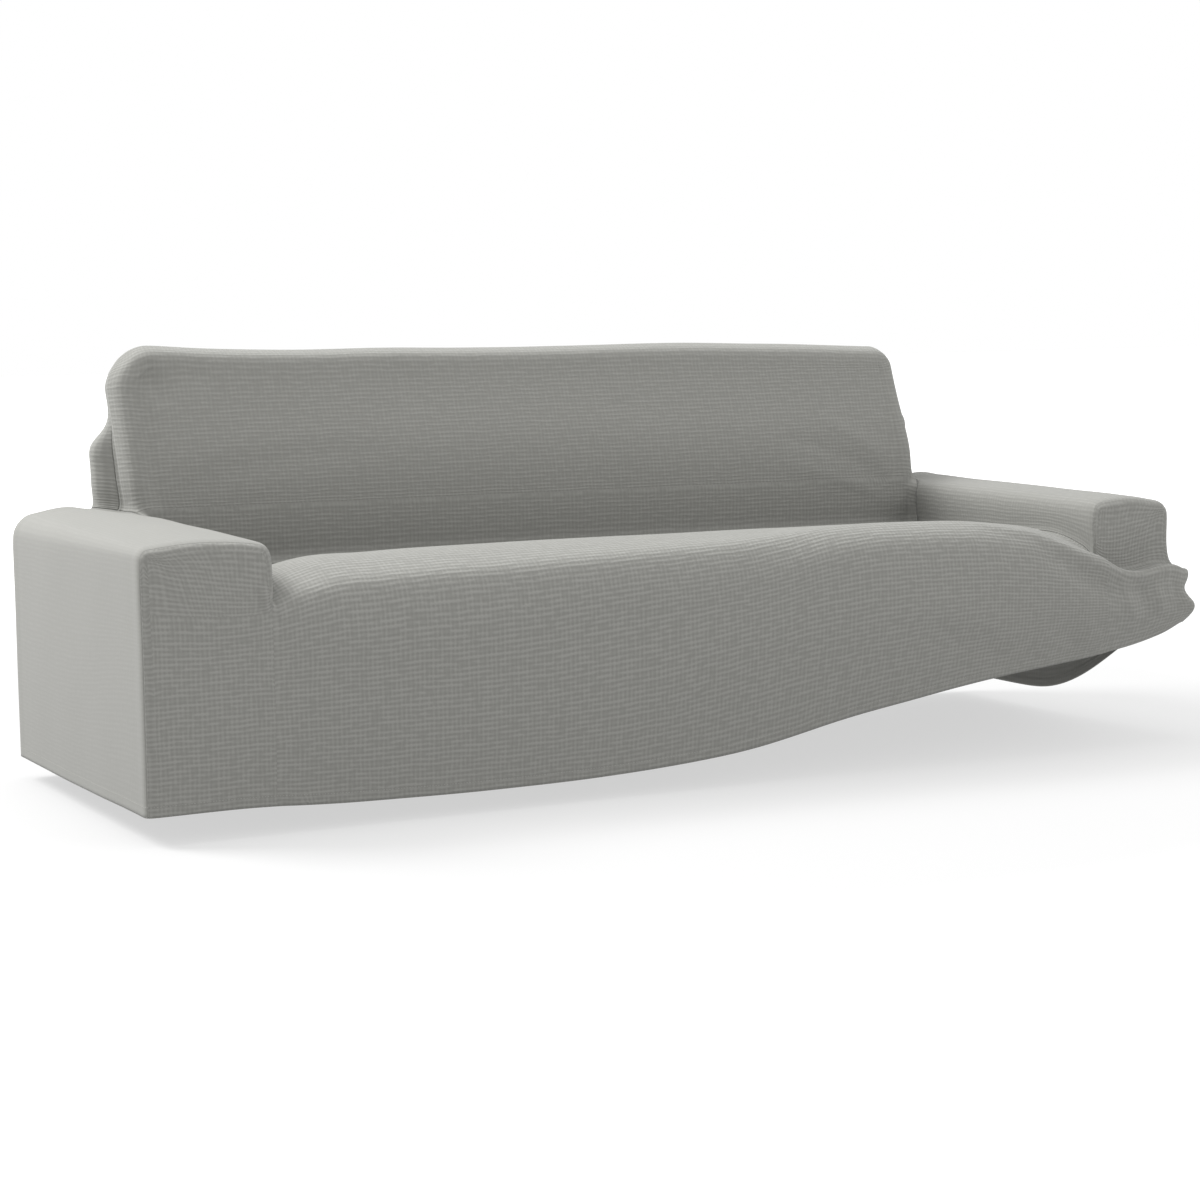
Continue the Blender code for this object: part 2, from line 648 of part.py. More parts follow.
hold = bpy.data.objects.new("sofa_hold", None)
hold.location = (0.0, -HOLD_Y, -HOLD_Z)
bpy.context.collection.objects.link(hold)

cover = build_cover()
for panel_name in PANELS:
    panel_solid(cover, panel_name, hold)
cover.mesh.free()
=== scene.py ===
"""Fitted stretch cover for a three-seat sofa, in grey crepe knit, as it hangs on the sofa.

The cloth's shape is written in the sofa's own frame: metres, floor at z = 0, x across the seat, the front
towards -Y. At the end it is moved to the row's frame, whose origin lies under the middle of the top edge.
"""

from math import cos, pi, radians, sin

import bmesh
import bpy
import numpy as np
from mathutils import Matrix, Vector, kdtree, noise


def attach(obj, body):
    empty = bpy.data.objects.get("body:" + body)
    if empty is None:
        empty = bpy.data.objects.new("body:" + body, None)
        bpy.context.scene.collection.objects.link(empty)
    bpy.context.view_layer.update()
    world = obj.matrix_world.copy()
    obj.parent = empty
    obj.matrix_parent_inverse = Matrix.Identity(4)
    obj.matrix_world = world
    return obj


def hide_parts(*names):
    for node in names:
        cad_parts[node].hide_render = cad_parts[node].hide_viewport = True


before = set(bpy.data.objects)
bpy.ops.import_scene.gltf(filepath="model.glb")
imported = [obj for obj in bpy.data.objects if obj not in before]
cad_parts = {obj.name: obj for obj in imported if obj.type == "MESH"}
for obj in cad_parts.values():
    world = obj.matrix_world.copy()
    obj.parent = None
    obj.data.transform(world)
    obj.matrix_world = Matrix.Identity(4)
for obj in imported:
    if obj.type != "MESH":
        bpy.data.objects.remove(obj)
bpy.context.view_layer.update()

# ---- Front and seat ----------------------------------------------------------------------------------------
# One length of grey crepe knit, polyester with elastane, from the hem up the sofa's front and over the seat
# to the back. Its sides are cut wide, and close the fronts of both arms as tabs. It is pulled over the sofa
# and held by its own stretch; on the right it is still drawn forward and up, and stands as a slack wave.

PANELS = ("seat_and_front", "arm_left", "arm_right", "inside_back", "outside_back")
HALF_WIDTH = 1.200
FRONT_Y = -0.440
HEM_Z = 0.050
ARM_INNER = {-1: 0.940, 1: 0.953}  # from the centre line to the inner face of each arm
FRONT_ROUND = 0.014  # edge between an arm's front and its sides

# Front cloth from the hem up, one row for each section across the sofa. Every point is (y, z).
FRONT_FOLDS = (
    # x,      hem,             skirt,           belly,           brow,            crest
    (-1.200, (-0.440, 0.056), (-0.443, 0.170), (-0.443, 0.290), (-0.442, 0.370), (-0.440, 0.423)),
    (-0.940, (-0.440, 0.055), (-0.444, 0.170), (-0.444, 0.290), (-0.442, 0.370), (-0.440, 0.423)),
    (-0.860, (-0.440, 0.050), (-0.446, 0.170), (-0.448, 0.290), (-0.448, 0.380), (-0.435, 0.448)),
    (-0.700, (-0.440, 0.046), (-0.448, 0.170), (-0.450, 0.295), (-0.450, 0.390), (-0.433, 0.460)),
    (-0.450, (-0.440, 0.044), (-0.450, 0.170), (-0.453, 0.300), (-0.451, 0.400), (-0.433, 0.466)),
    (-0.120, (-0.442, 0.054), (-0.456, 0.190), (-0.462, 0.330), (-0.457, 0.425), (-0.434, 0.479)),
    (0.100, (-0.446, 0.076), (-0.468, 0.230), (-0.476, 0.360), (-0.466, 0.440), (-0.434, 0.490)),
    (0.300, (-0.450, 0.118), (-0.478, 0.260), (-0.487, 0.395), (-0.466, 0.480), (-0.420, 0.512)),
    (0.500, (-0.453, 0.150), (-0.486, 0.280), (-0.494, 0.400), (-0.471, 0.485), (-0.420, 0.515)),
    (0.700, (-0.456, 0.180), (-0.490, 0.290), (-0.497, 0.395), (-0.474, 0.475), (-0.425, 0.505)),
    (0.860, (-0.457, 0.196), (-0.490, 0.290), (-0.496, 0.375), (-0.480, 0.446), (-0.440, 0.472)),
    (0.953, (-0.458, 0.208), (-0.488, 0.290), (-0.493, 0.365), (-0.477, 0.423), (-0.446, 0.417)),
    (1.000, (-0.458, 0.216), (-0.486, 0.290), (-0.491, 0.352), (-0.479, 0.395), (-0.443, 0.393)),
    (1.050, (-0.458, 0.224), (-0.484, 0.290), (-0.490, 0.347), (-0.479, 0.386), (-0.443, 0.385)),
    (1.130, (-0.459, 0.243), (-0.484, 0.300), (-0.491, 0.355), (-0.480, 0.400), (-0.443, 0.393)),
    (1.200, (-0.460, 0.266), (-0.480, 0.300), (-0.484, 0.345), (-0.474, 0.385), (-0.445, 0.388)),
)

# Seat cloth behind the crest, back to where it meets the inside back
SEAT_FOLDS = (
    # x,      foot,            seat,            crease
    (-0.940, (-0.365, 0.457), (-0.070, 0.450), (0.267, 0.443)),
    (-0.860, (-0.350, 0.492), (-0.070, 0.459), (0.266, 0.444)),
    (-0.700, (-0.345, 0.503), (-0.070, 0.466), (0.264, 0.445)),
    (-0.450, (-0.340, 0.507), (-0.070, 0.470), (0.262, 0.446)),
    (-0.120, (-0.340, 0.509), (-0.070, 0.470), (0.262, 0.446)),
    (0.100, (-0.340, 0.510), (-0.070, 0.470), (0.262, 0.446)),
    (0.300, (-0.345, 0.514), (-0.070, 0.472), (0.262, 0.446)),
    (0.500, (-0.345, 0.512), (-0.070, 0.474), (0.262, 0.446)),
    (0.700, (-0.350, 0.494), (-0.070, 0.474), (0.264, 0.446)),
    (0.860, (-0.385, 0.464), (-0.070, 0.468), (0.266, 0.446)),
    (0.953, (-0.410, 0.438), (-0.070, 0.455), (0.267, 0.442)),
)

# Where the rows and columns of the cloth's large faces run
FRONT_ROWS = (0, 0.5, 1, 1.5, 2, 2.5, 3, 4)  # along hem, skirt, belly, brow, crest
SEAT_ROWS = (4, 4.35, 4.7, 5, 5.25, 5.5, 5.75, 6, 6.33, 6.67, 7)  # along crest, foot, seat, crease
CREST_ROW = len(FRONT_ROWS) - 1
CORE_COLUMNS = 20
CORE_X = 0.900  # half width of the back cushion's flat middle
BESIDE_COLUMNS = 3  # between the middle and an arm
ARM_COLUMNS = 6


def through(knots, values, at):
    """The smooth curve through values at knots, read at the places given."""
    knots = np.asarray(knots, float)
    values = np.asarray(values, float)
    slopes = np.gradient(values, knots, axis=0)
    at = np.clip(at, knots[0], knots[-1])
    i = np.clip(np.searchsorted(knots, at, side="right") - 1, 0, len(knots) - 2)
    span = knots[i + 1] - knots[i]
    t = (at - knots[i]) / span
    if values.ndim > 1:
        span, t = span[:, None], t[:, None]
    return (
        values[i] * (1 + 2 * t) * (1 - t) ** 2
        + slopes[i] * span * t * (1 - t) ** 2
        + values[i + 1] * t * t * (3 - 2 * t)
        + slopes[i + 1] * span * t * t * (t - 1)
    )


def ease(t):
    """0 below 0, 1 above 1 and a soft step between."""
    t = np.clip(t, 0.0, 1.0)
    return t * t * (3 - 2 * t)


def mix(a, b, t):
    return a + (b - a) * t


def column(table, index):
    return [row[index] for row in table]


def front_line(x, rows):
    """Points of the front and seat cloth at one x, for row numbers along the named points."""
    on_seat = -ARM_INNER[-1] - 1e-6 <= x <= ARM_INNER[1] + 1e-6
    points = [through(column(FRONT_FOLDS, 0), column(FRONT_FOLDS, i), [x])[0] for i in range(1, 6)]
    if on_seat:
        points += [through(column(SEAT_FOLDS, 0), column(SEAT_FOLDS, i), [x])[0] for i in range(1, 4)]
    points = np.array(points)
    lengths = np.concatenate(([0.0], np.cumsum(np.linalg.norm(np.diff(points, axis=0), axis=1))))
    at = np.interp(rows, range(len(points)), lengths)
    yz = through(lengths, points, at)
    return np.column_stack((np.full(len(rows), x), yz))


def patch_between(low, high, left, right):
    """A grid of points filled in from its four edge lines; low and high run from left to right."""
    low, high, left, right = (np.asarray(line) for line in (low, high, left, right))
    u = np.linspace(0, 1, len(low))[None, :, None]
    v = np.linspace(0, 1, len(left))[:, None, None]
    ruled = mix(low[None], high[None], v) + mix(left[:, None], right[:, None], u)
    corners = mix(mix(low[0], low[-1], u), mix(high[0], high[-1], u), v)
    return ruled - corners


cloth = bmesh.new()  # the whole cover's outer surface in large faces, whose material number is their panel
flat_map = cloth.loops.layers.uv.new("flat")


def lay(grid, panel, ribs=0, across_from=None):
    """Add a grid of points as faces of a panel. ribs is the grid's axis that the knit's ribs run along.

    The flat map gives every place its distance along the ribs and across them, in metres of cloth.
    across_from is the distance across that it starts with, and the one that it ends with is given back.
    """
    points = np.array([[tuple(point) for point in row] for row in grid])
    runs = []
    for axis in (0, 1):
        steps = np.linalg.norm(np.diff(points, axis=axis), axis=2).mean(axis=1 - axis)
        runs.append(np.concatenate(([0.0], np.cumsum(steps))))
    long_axis = 1 if panel.startswith("arm") else 0
    start = points.take(0, axis=ribs)[:, long_axis].mean()
    end = points.take(-1, axis=ribs)[:, long_axis].mean()
    along_ribs = start + (1 if end > start else -1) * runs[ribs]
    if across_from is None:
        across_from = points.take(0, axis=1 - ribs)[:, 2].mean()
    across_ribs = across_from + runs[1 - ribs]

    verts = [[cloth.verts.new(point) for point in row] for row in points]
    for row in range(len(grid) - 1):
        for col in range(len(grid[0]) - 1):
            places = ((row, col), (row, col + 1), (row + 1, col + 1), (row + 1, col))
            face = cloth.faces.new([verts[r][c] for r, c in places])
            face.material_index = PANELS.index(panel)
            for loop, place in zip(face.loops, places):
                loop[flat_map].uv = (along_ribs[place[ribs]], across_ribs[place[1 - ribs]])
    return across_ribs[-1]


beside = {
    side: [
        side * mix(CORE_X, ARM_INNER[side], step / BESIDE_COLUMNS) for step in range(1, BESIDE_COLUMNS + 1)
    ]
    for side in (-1, 1)
}
core_xs = list(np.linspace(-CORE_X, CORE_X, CORE_COLUMNS + 1))
seat = np.array([
    front_line(x, FRONT_ROWS + SEAT_ROWS[1:]) for x in beside[-1][::-1] + core_xs + beside[1]
])
lay(seat, "seat_and_front")

# ---- Inside back -------------------------------------------------------------------------------------------
# The same knit over the face of the back cushion, round its top edge and both its ends. It is sewn to the
# seat's cloth in the crease, where it is tucked in, and to the outside back behind the rounded edge.

CORE_Z = 0.815
BACK_ROUND = 0.038
BACK_PUFF = 0.012
BACK_SEAM_Y = 0.410  # seam behind the top edge
EDGE_CROWN = 0.003  # how far the cushion's edge bulges between its rounding and the seam
SEAM_DROP = 0.006  # from the top edge down to the seam behind it
BACK_ROWS_Z = (0.610, 0.660, 0.700, 0.745, CORE_Z)
ARM_TOP = 0.551
MARGIN = 6  # columns round each end of the back, rows over its top
TURN = 3  # of these, the ones in front of the rounded edge's middle
HALF_TURN = 1 - cos(pi / 4)  # of a rounding's radius, at the middle of its quarter circle

# Top outline of the back, uneven as the cloth lies
BACK_TOPS = (
    # x,     z
    (-0.900, 0.905),
    (-0.700, 0.893),
    (-0.410, 0.890),
    (0.025, 0.885),
    (0.350, 0.886),
    (0.660, 0.878),
    (0.900, 0.868),
)

# Side view of the back's face: it stands up between the arms and leans back above them
BACK_FACE = (
    # z,    y
    (0.440, 0.266),
    (0.550, 0.277),
    (0.660, 0.301),
    (0.790, 0.334),
    (0.870, 0.350),
)

# Ends of the back cushion: half width on the left and the right, and how far back its end runs
BACK_ENDS = (
    # z,    left,  right, end_y
    (0.540, 0.981, 0.984, 0.333),
    (0.665, 0.984, 0.976, 0.362),
    (0.738, 0.987, 0.967, 0.385),
    (0.815, 0.991, 0.960, 0.405),
)


def back_front_y(x, z):
    """The inside back's face: it leans back and is a little fuller in the middle."""
    low, high = BACK_FACE[0][0], BACK_FACE[-1][0]
    puff = sin(pi * np.clip((z - low) / (high - low), 0, 1)) * max(0.0, 1 - x**4)
    return through(column(BACK_FACE, 0), column(BACK_FACE, 1), [z])[0] - BACK_PUFF * puff


def end_out(side, z):
    """How far an end of the back stands out from the core, and the y where its cloth ends."""
    width = through(column(BACK_ENDS, 0), column(BACK_ENDS, 1 if side < 0 else 2), [z])[0]
    return width - CORE_X, through(column(BACK_ENDS, 0), column(BACK_ENDS, 3), [z])[0]


def top_out(x):
    return through(column(BACK_TOPS, 0), column(BACK_TOPS, 1), [x])[0] - CORE_Z


def front_wrap(out, face_y, seam_y):
    """Steps outwards and backwards over a rounded edge of the inside back: (out, y) for each step."""
    r = BACK_ROUND
    return (
        (0.0, face_y),
        ((out - r) / 2, face_y),
        (out - r, face_y),
        (out - r * HALF_TURN, face_y + r * HALF_TURN),
        (out, face_y + r),
        (out + EDGE_CROWN, mix(face_y + r, seam_y, 0.55)),
        (out, seam_y),
    )


def front_side_wrap(side, z):
    out, seam_y = end_out(side, z)
    return front_wrap(out, back_front_y(side * CORE_X, z), seam_y)


def front_top_wrap(x):
    out = top_out(x)
    steps = list(front_wrap(out, back_front_y(x, CORE_Z + out - BACK_ROUND), BACK_SEAM_Y))
    steps[0] = (0.0, back_front_y(x, CORE_Z))
    steps[1] = (steps[1][0], back_front_y(x, CORE_Z + steps[1][0]))
    steps[MARGIN] = (out - SEAM_DROP, BACK_SEAM_Y)
    return steps


def round_corner(i, j):
    """A place in a corner's block: its step of the wrap, and its direction from side (0) to top (1)."""
    step = max(i, j)
    return step, (j / i / 2 if i >= j else 1 - i / j / 2)


def lid_rows(side_wrap, top_wrap, core_y):
    """Points of a back panel above the arms: rows from the arms' tops up, from the left seam to the right."""
    rows = []
    for z in (ARM_TOP,) + BACK_ROWS_Z:
        left = [(-CORE_X - out, y, z) for out, y in side_wrap(-1, z)]
        right = [(CORE_X + out, y, z) for out, y in side_wrap(1, z)]
        core = [(x, core_y(x, z), z) for x in core_xs[1:-1]]
        rows.append(left[::-1] + core + right)
    for step in range(1, MARGIN + 1):
        row = []
        for x in core_xs:
            out, y = top_wrap(x)[step]
            row.append((x, y, CORE_Z + out))
        for side in (-1, 1):
            side_steps = side_wrap(side, CORE_Z)
            top_steps = top_wrap(side * CORE_X)
            corner = []
            for away in range(1, MARGIN + 1):
                number, turn = round_corner(away, step)
                out, y = mix(np.array(side_steps[number]), np.array(top_steps[number]), turn)
                angle = turn * pi / 2
                corner.append((side * (CORE_X + out * cos(angle)), y, CORE_Z + out * sin(angle)))
            row = corner[::-1] + row if side < 0 else row + corner
        rows.append(row)
    return np.array(rows)


front_lid = lid_rows(front_side_wrap, front_top_wrap, back_front_y)

# ---- Outside back ------------------------------------------------------------------------------------------
# The rear of the cover in the same knit, from the hem up to the seam behind the top edge. Above the arms it
# is stretched round the sofa's low back frame, which stands out beside the cushion on both sides.

REAR_Y = 0.440
BACK_REAR_Y = 0.430  # rear face behind the cushion
CUSHION_REAR_ROUND = 0.016
WING_X = {-1: 1.027, 1: 1.018}
WING_TUCK = 0.004  # how far the low frame's side is drawn in towards the cushion
WING_ROUND = 0.025
WING_FULL_Z = 0.700
WING_END_Z = 0.745


def rear_wrap(out, rear_y, seam_y, wing_out=0.0, wing=0.0):
    """Steps over an edge of the outside back; wing is 1 where the low frame stands out beside the cushion."""
    r = mix(CUSHION_REAR_ROUND, WING_ROUND, wing)
    reach = mix(out, wing_out, wing)
    return (
        (0.0, rear_y),
        ((reach - r) / 2, rear_y),
        (reach - r, rear_y),
        (reach - r * HALF_TURN, rear_y - r * HALF_TURN),
        (reach, rear_y - r),
        (mix(mix(reach, out, 0.5), reach - WING_TUCK, wing), mix(rear_y - r, seam_y, 0.55)),
        (out, seam_y),
    )


def rear_side_wrap(side, z):
    out, seam_y = end_out(side, z)
    wing = 1 - ease((z - WING_FULL_Z) / (WING_END_Z - WING_FULL_Z))
    return rear_wrap(out, mix(BACK_REAR_Y, REAR_Y, wing), seam_y, WING_X[side] - CORE_X, wing)


def rear_top_wrap(x):
    return rear_wrap(top_out(x) - SEAM_DROP, BACK_REAR_Y, BACK_SEAM_Y)


def rear_core_y(x, z):
    return rear_side_wrap(-1, z)[0][1]


rear_lid = lid_rows(rear_side_wrap, rear_top_wrap, rear_core_y)

# ---- Arms --------------------------------------------------------------------------------------------------
# Each arm has a strip of the knit over its outer side, top and inner side, sewn to the front's tab, the seat,
# the inside back and the outside back. The right one's front end is the slack corner: it is gathered and up.
# An arm's section is a path from the hem up its outer side, over the top and down its inner side. Numbers on
# it: 0 to 7 the rows of the front cloth, 8 to 12 the outer rounding, 15 the start of the inner rounding,
# 17 its end and 19 the seat's crease.

TOP_START, TOP_END, CREASE_AT = 12, 15, 19
CAP_CORNER = 10  # on a front or rear cap, where the side edge becomes the top edge
ON_TOP = (0, 0.25, 0.5, 0.75, 1, 1, 1, 1, 0.5, 0)  # how far path numbers 8 to 17 belong to the top
TOP_FRONT_DROP = 0.018  # edge between an arm's front and its top: down the front
TOP_FRONT_DEPTH = 0.030  # and back over the top
REAR_ROUND = 0.030
INNER_ROUND = 0.030  # along an arm's inner top edge
ARM_CROWN = 0.008
LEAN_FROM_Z = 0.120  # above this an arm's outer side leans in towards its top
PLAIN_CREST_Z = 0.423  # height of the crest's row where the cloth hangs plain
BACK_FOOT_Y = 0.260  # where the back's face stands on the arms
STATIONS_Y = (
    -0.402, -0.375, -0.320, -0.245, -0.160, -0.065, 0.050, 0.165, 0.285, 0.310, 0.335, 0.360, 0.385, 0.410
)

# How far the bunched cloth at the slack corner stands out sideways, for each row up from the hem
CORNER_GATHER = (0.006, 0.020, 0.025, 0.013, 0.004, 0.015, 0.019, 0.000)
SLACK_REACH = 0.520  # along the side, from the slack corner to where the hem is down again

# Top height and outer half width at the front and the rear, and the rounding of the outer top edge
ARMS = {
    "arm_left": {
        "side": -1, "top": (0.556, 0.564), "outer": (1.200, 1.200), "round": (0.024, 0.056),
        "drop": 0.000, "gather": 0.0,
    },
    "arm_right": {
        "side": 1, "top": (0.544, 0.553), "outer": (1.163, 1.182), "round": (0.034, 0.056),
        "drop": 0.005, "gather": 1.0,
    },
}


def along(pair, y):
    """A size that changes evenly from the front of the sofa to its rear."""
    return mix(pair[0], pair[1], (y - FRONT_Y) / (REAR_Y - FRONT_Y))


def outer_x(arm, y, z):
    """Half width of the cover beside an arm: it leans in from the hem to the top edge."""
    top = along(arm["outer"], y)
    start = along(arm["top"], y) - along(arm["round"], y)
    return mix(HALF_WIDTH, top, ease((z - LEAN_FROM_Z) / (start - LEAN_FROM_Z)))


def arm_over(arm, y, side_inset=0.0, top_inset=0.0):
    """Path numbers 8 to 17 of an arm's section at y, drawn in by the insets: x outwards, z."""
    top = along(arm["top"], y)
    outer = along(arm["outer"], y)
    radius = along(arm["round"], y)
    low = top - arm["drop"]
    inner = ARM_INNER[arm["side"]]
    insets = [mix(side_inset, top_inset, share) for share in ON_TOP]
    points = []
    for step in range(5):
        turn = step * pi / 8
        left = radius - insets[step]
        points.append((outer - radius + left * cos(turn), low - radius + left * sin(turn)))
    for step in range(1, 4):
        t = step / 3
        crown = ARM_CROWN * 4 * t * (1 - t)
        points.append((mix(outer - radius, inner + INNER_ROUND, t), mix(low, top, t) - top_inset + crown))
    for turn, inset in ((pi / 4, insets[-2]), (0, insets[-1])):
        left = INNER_ROUND - inset
        points.append((inner + INNER_ROUND - left * cos(turn), top - INNER_ROUND + left * sin(turn)))
    return points


def arm_lines(arm, seat_edge, tops):
    """Points of an arm by station and path number: front cap's edge, the stations and the rear cap's edge.

    seat_edge holds the points of the seat's crease beside the arm. tops holds the points where the arm's
    top meets the back, the low frame and the rear, from the back's front face to the rear seam.
    """
    side = arm["side"]
    front = front_line(side * outer_x(arm, FRONT_Y, 0.0), FRONT_ROWS)
    slack_rows = front[:, 2]
    plain_rows = np.array([mix(HEM_Z, PLAIN_CREST_Z, row / FRONT_ROWS[-1]) for row in FRONT_ROWS])
    gather = np.array(CORNER_GATHER) * arm["gather"]
    stations = []
    # round the front edge: how much of its drop and of its depth is reached
    for drop, depth in ((1.0, 0.0), (HALF_TURN, HALF_TURN), (0.0, 1.0)):
        inset = drop * FRONT_ROUND
        line = [
            (outer_x(arm, FRONT_Y, z) - inset + bulge, front[row, 1] + depth * FRONT_ROUND, z)
            for row, (z, bulge) in enumerate(zip(slack_rows, gather))
        ]
        for (x, z), share in zip(arm_over(arm, FRONT_Y, inset, drop * TOP_FRONT_DROP), ON_TOP):
            line.append((x, FRONT_Y + depth * mix(FRONT_ROUND, TOP_FRONT_DEPTH, share), z))
        stations.append(line)
    for y in STATIONS_Y:
        down = ease((y - FRONT_Y) / SLACK_REACH)
        rows = mix(slack_rows, plain_rows, down)
        line = [(outer_x(arm, y, z) + bulge * (1 - down), y, z) for z, bulge in zip(rows, gather)]
        stations.append(line + [(x, y, z) for x, z in arm_over(arm, y)])
    for inset, back in ((REAR_ROUND * HALF_TURN, REAR_ROUND * HALF_TURN), (REAR_ROUND, 0.0)):
        line = [(outer_x(arm, REAR_Y, z) - inset, REAR_Y - back, z) for z in plain_rows]
        stations.append(line + [(x, REAR_Y - back, z) for x, z in arm_over(arm, REAR_Y, inset, inset)])

    stations = [np.array([(side * x, y, z) for x, y, z in line]) for line in stations]
    # the inner side goes down to the seat's crease, and the front rounding dies out at the slit's foot
    last_inner = len(seat_edge)
    for number in range(last_inner + 1):
        foot = seat_edge[max(number - 1, 0)]
        middle = mix(stations[number][-1], foot, 0.5)
        stations[number] = np.vstack((stations[number], middle, foot))
    for point in stations[last_inner][TOP_END + 1 : CREASE_AT]:
        point[1] = back_front_y(point[0], point[2])
    # behind the back's front face the top ends where it meets the back
    for number, point in enumerate(tops):
        line = stations[last_inner + number]
        line[TOP_END] = point
        for t, at in ((1 / 3, 13), (2 / 3, 14)):
            line[at] = mix(line[TOP_START], line[TOP_END], t) + (0, 0, ARM_CROWN * 4 * t * (1 - t))
    return stations


# The back's lowest row lies on the arms' tops, so its heights are theirs
foot_xs = (front_lid[0][TURN][0], front_lid[0][-1 - TURN][0])
foot_tops = [along(arm["top"], BACK_FOOT_Y) for arm in ARMS.values()]
front_lid[0][:, 2] = np.interp(front_lid[0][:, 0], foot_xs, foot_tops)
for point in front_lid[0][TURN + 1 : -TURN - 1]:
    point[1] = back_front_y(point[0], point[2])
arm_points = {}
for name, arm in ARMS.items():
    left = arm["side"] < 0
    front_row = front_lid[0] if left else front_lid[0][::-1]
    rear_row = rear_lid[0] if left else rear_lid[0][::-1]
    rear_row[:TURN, 2] = along(arm["top"], REAR_Y)
    rear_row[0, 2] = front_row[0, 2]
    rear_row[TURN, 2] = along(arm["top"], REAR_Y) - REAR_ROUND * HALF_TURN
    rear_row[TURN + 1 : len(rear_row) // 2 + 1, 2] = ARM_TOP - REAR_ROUND
    tops = [front_row[MARGIN - step] for step in range(TURN, MARGIN + 1)]
    tops += [rear_row[step] for step in range(1, MARGIN - TURN + 1)]
    arm_points[name] = arm_lines(arm, seat[0 if left else -1][CREST_ROW:], tops)

for name, arm in ARMS.items():
    lines = arm_points[name]
    cap = lines[0]
    inner_column = seat[0 if arm["side"] < 0 else -1][: CREST_ROW + 1]
    # the front cloth before the arm, up to the slit's foot, and the tab that closes the arm's front
    apron_xs = np.linspace(HALF_WIDTH - FRONT_ROUND, ARM_INNER[arm["side"]], ARM_COLUMNS + 1)
    apron = np.array([front_line(arm["side"] * x, FRONT_ROWS) for x in apron_xs])
    for col in range(ARM_COLUMNS + 1):
        apron[col, :, 0] = mix(cap[: CREST_ROW + 1, 0], inner_column[:, 0], col / ARM_COLUMNS)
    apron[0] = cap[: CREST_ROW + 1]
    apron[-1] = inner_column
    slit_foot = lay(apron, "seat_and_front")
    tab = patch_between(
        apron[:, -1], cap[CAP_CORNER : CAP_CORNER + ARM_COLUMNS + 1],
        cap[CREST_ROW : CAP_CORNER + 1], cap[[19, 18, 17, 16]],
    )
    tab_end = lay(tab, "seat_and_front", ribs=1, across_from=slit_foot)
    lay([line[: CAP_CORNER + 1] for line in lines[:2]], "seat_and_front")
    lay([line[CAP_CORNER:] for line in lines[:2]], "seat_and_front", ribs=1, across_from=tab_end)
    # the arm's own strip, and the part of it that goes down its inner side
    lay([line[: TOP_END + 1] for line in lines[1:-1]], name)
    lay([line[TOP_END:] for line in lines[1 : len(SEAT_ROWS) + 1]], name)

# the inside back between the arms, down to the seat's crease
left_edge = arm_points["arm_left"][len(SEAT_ROWS)][TOP_END:][::-1]
right_edge = arm_points["arm_right"][len(SEAT_ROWS)][TOP_END:][::-1]
crease = seat[:, -1]
low_row = front_lid[0][MARGIN - TURN : len(front_lid[0]) - (MARGIN - TURN)]
band = []
for row, height in enumerate((left_edge[:, 2] - left_edge[0, 2]) / (left_edge[-1, 2] - left_edge[0, 2])):
    flat = mix(crease[:, [0, 2]], low_row[:, [0, 2]], height)
    line = np.array([(x, back_front_y(x, z), z) for x, z in flat])
    line[0], line[-1] = left_edge[row], right_edge[row]
    band.append(line)
band[0], band[-1] = crease, low_row
arms_level = lay(band, "inside_back", ribs=1)
lay(front_lid, "inside_back", ribs=1, across_from=arms_level)

# the outside back below the arms' tops: the full width, round both rear corners and down to the hem
lay(rear_lid, "outside_back", ribs=1)
past_frame = MARGIN - 2
skirt = np.array([
    [(x, REAR_Y, mix(HEM_Z, z, row / CAP_CORNER)) for row in range(CAP_CORNER + 1)]
    for x, y, z in rear_lid[0][past_frame : len(rear_lid[0]) - past_frame]
])
lay(skirt, "outside_back")
for name, arm in ARMS.items():
    lines = arm_points[name]
    cap = lines[-1]
    inner_column = skirt[0 if arm["side"] < 0 else -1]
    cap[TOP_END] = inner_column[-1]
    lay([line[: TOP_END + 1] for line in lines[-2:]], "outside_back")
    top_line = cap[CAP_CORNER : TOP_END + 1]
    hem_line = [mix(cap[0], inner_column[0], share) for share in np.linspace(0, 1, len(top_line))]
    lay(patch_between(hem_line, top_line, cap[: CAP_CORNER + 1], inner_column), "outside_back", ribs=1)

# ---- Sewing: the five panels as one stretched skin ---------------------------------------------------------
# Overlocked seams join the panels, and the stretch draws the cloth smooth over the sofa. The large faces are
# joined and rounded into fine ones, and the skin then gets its creases: those of the photograph, given one by
# one, and a slight unevenness everywhere. Each panel leaves it as a thin sheet of its own.

SOFA_PLACE = Vector((0.0, 0.380, 0.882))  # of the row's origin, in the sofa's frame
SMOOTHING = 3  # times that every large face is divided
FITTING_ROUNDS = 2
KNIT_THICKNESS = 0.0016

bmesh.ops.remove_doubles(cloth, verts=cloth.verts, dist=1e-5)
bmesh.ops.recalc_face_normals(cloth, faces=cloth.faces)
if min(cloth.faces, key=lambda face: face.calc_center_median().y).normal.y > 0:
    bmesh.ops.reverse_faces(cloth, faces=cloth.faces)
skin_mesh = bpy.data.meshes.new("skin")
cloth.to_mesh(skin_mesh)
cloth.free()
for panel in PANELS:
    skin_mesh.materials.append(bpy.data.materials.new(panel))
skin = bpy.data.objects.new("skin", skin_mesh)
bpy.context.scene.collection.objects.link(skin)
rounding = skin.modifiers.new("rounding", "SUBSURF")


def rounded_skin(levels):
    rounding.levels = rounding.render_levels = levels
    bpy.context.view_layer.update()
    return bpy.data.meshes.new_from_object(skin.evaluated_get(bpy.context.evaluated_depsgraph_get()))


def points_of(mesh):
    flat = np.empty(len(mesh.vertices) * 3)
    mesh.vertices.foreach_get("co", flat)
    return flat.reshape(-1, 3)


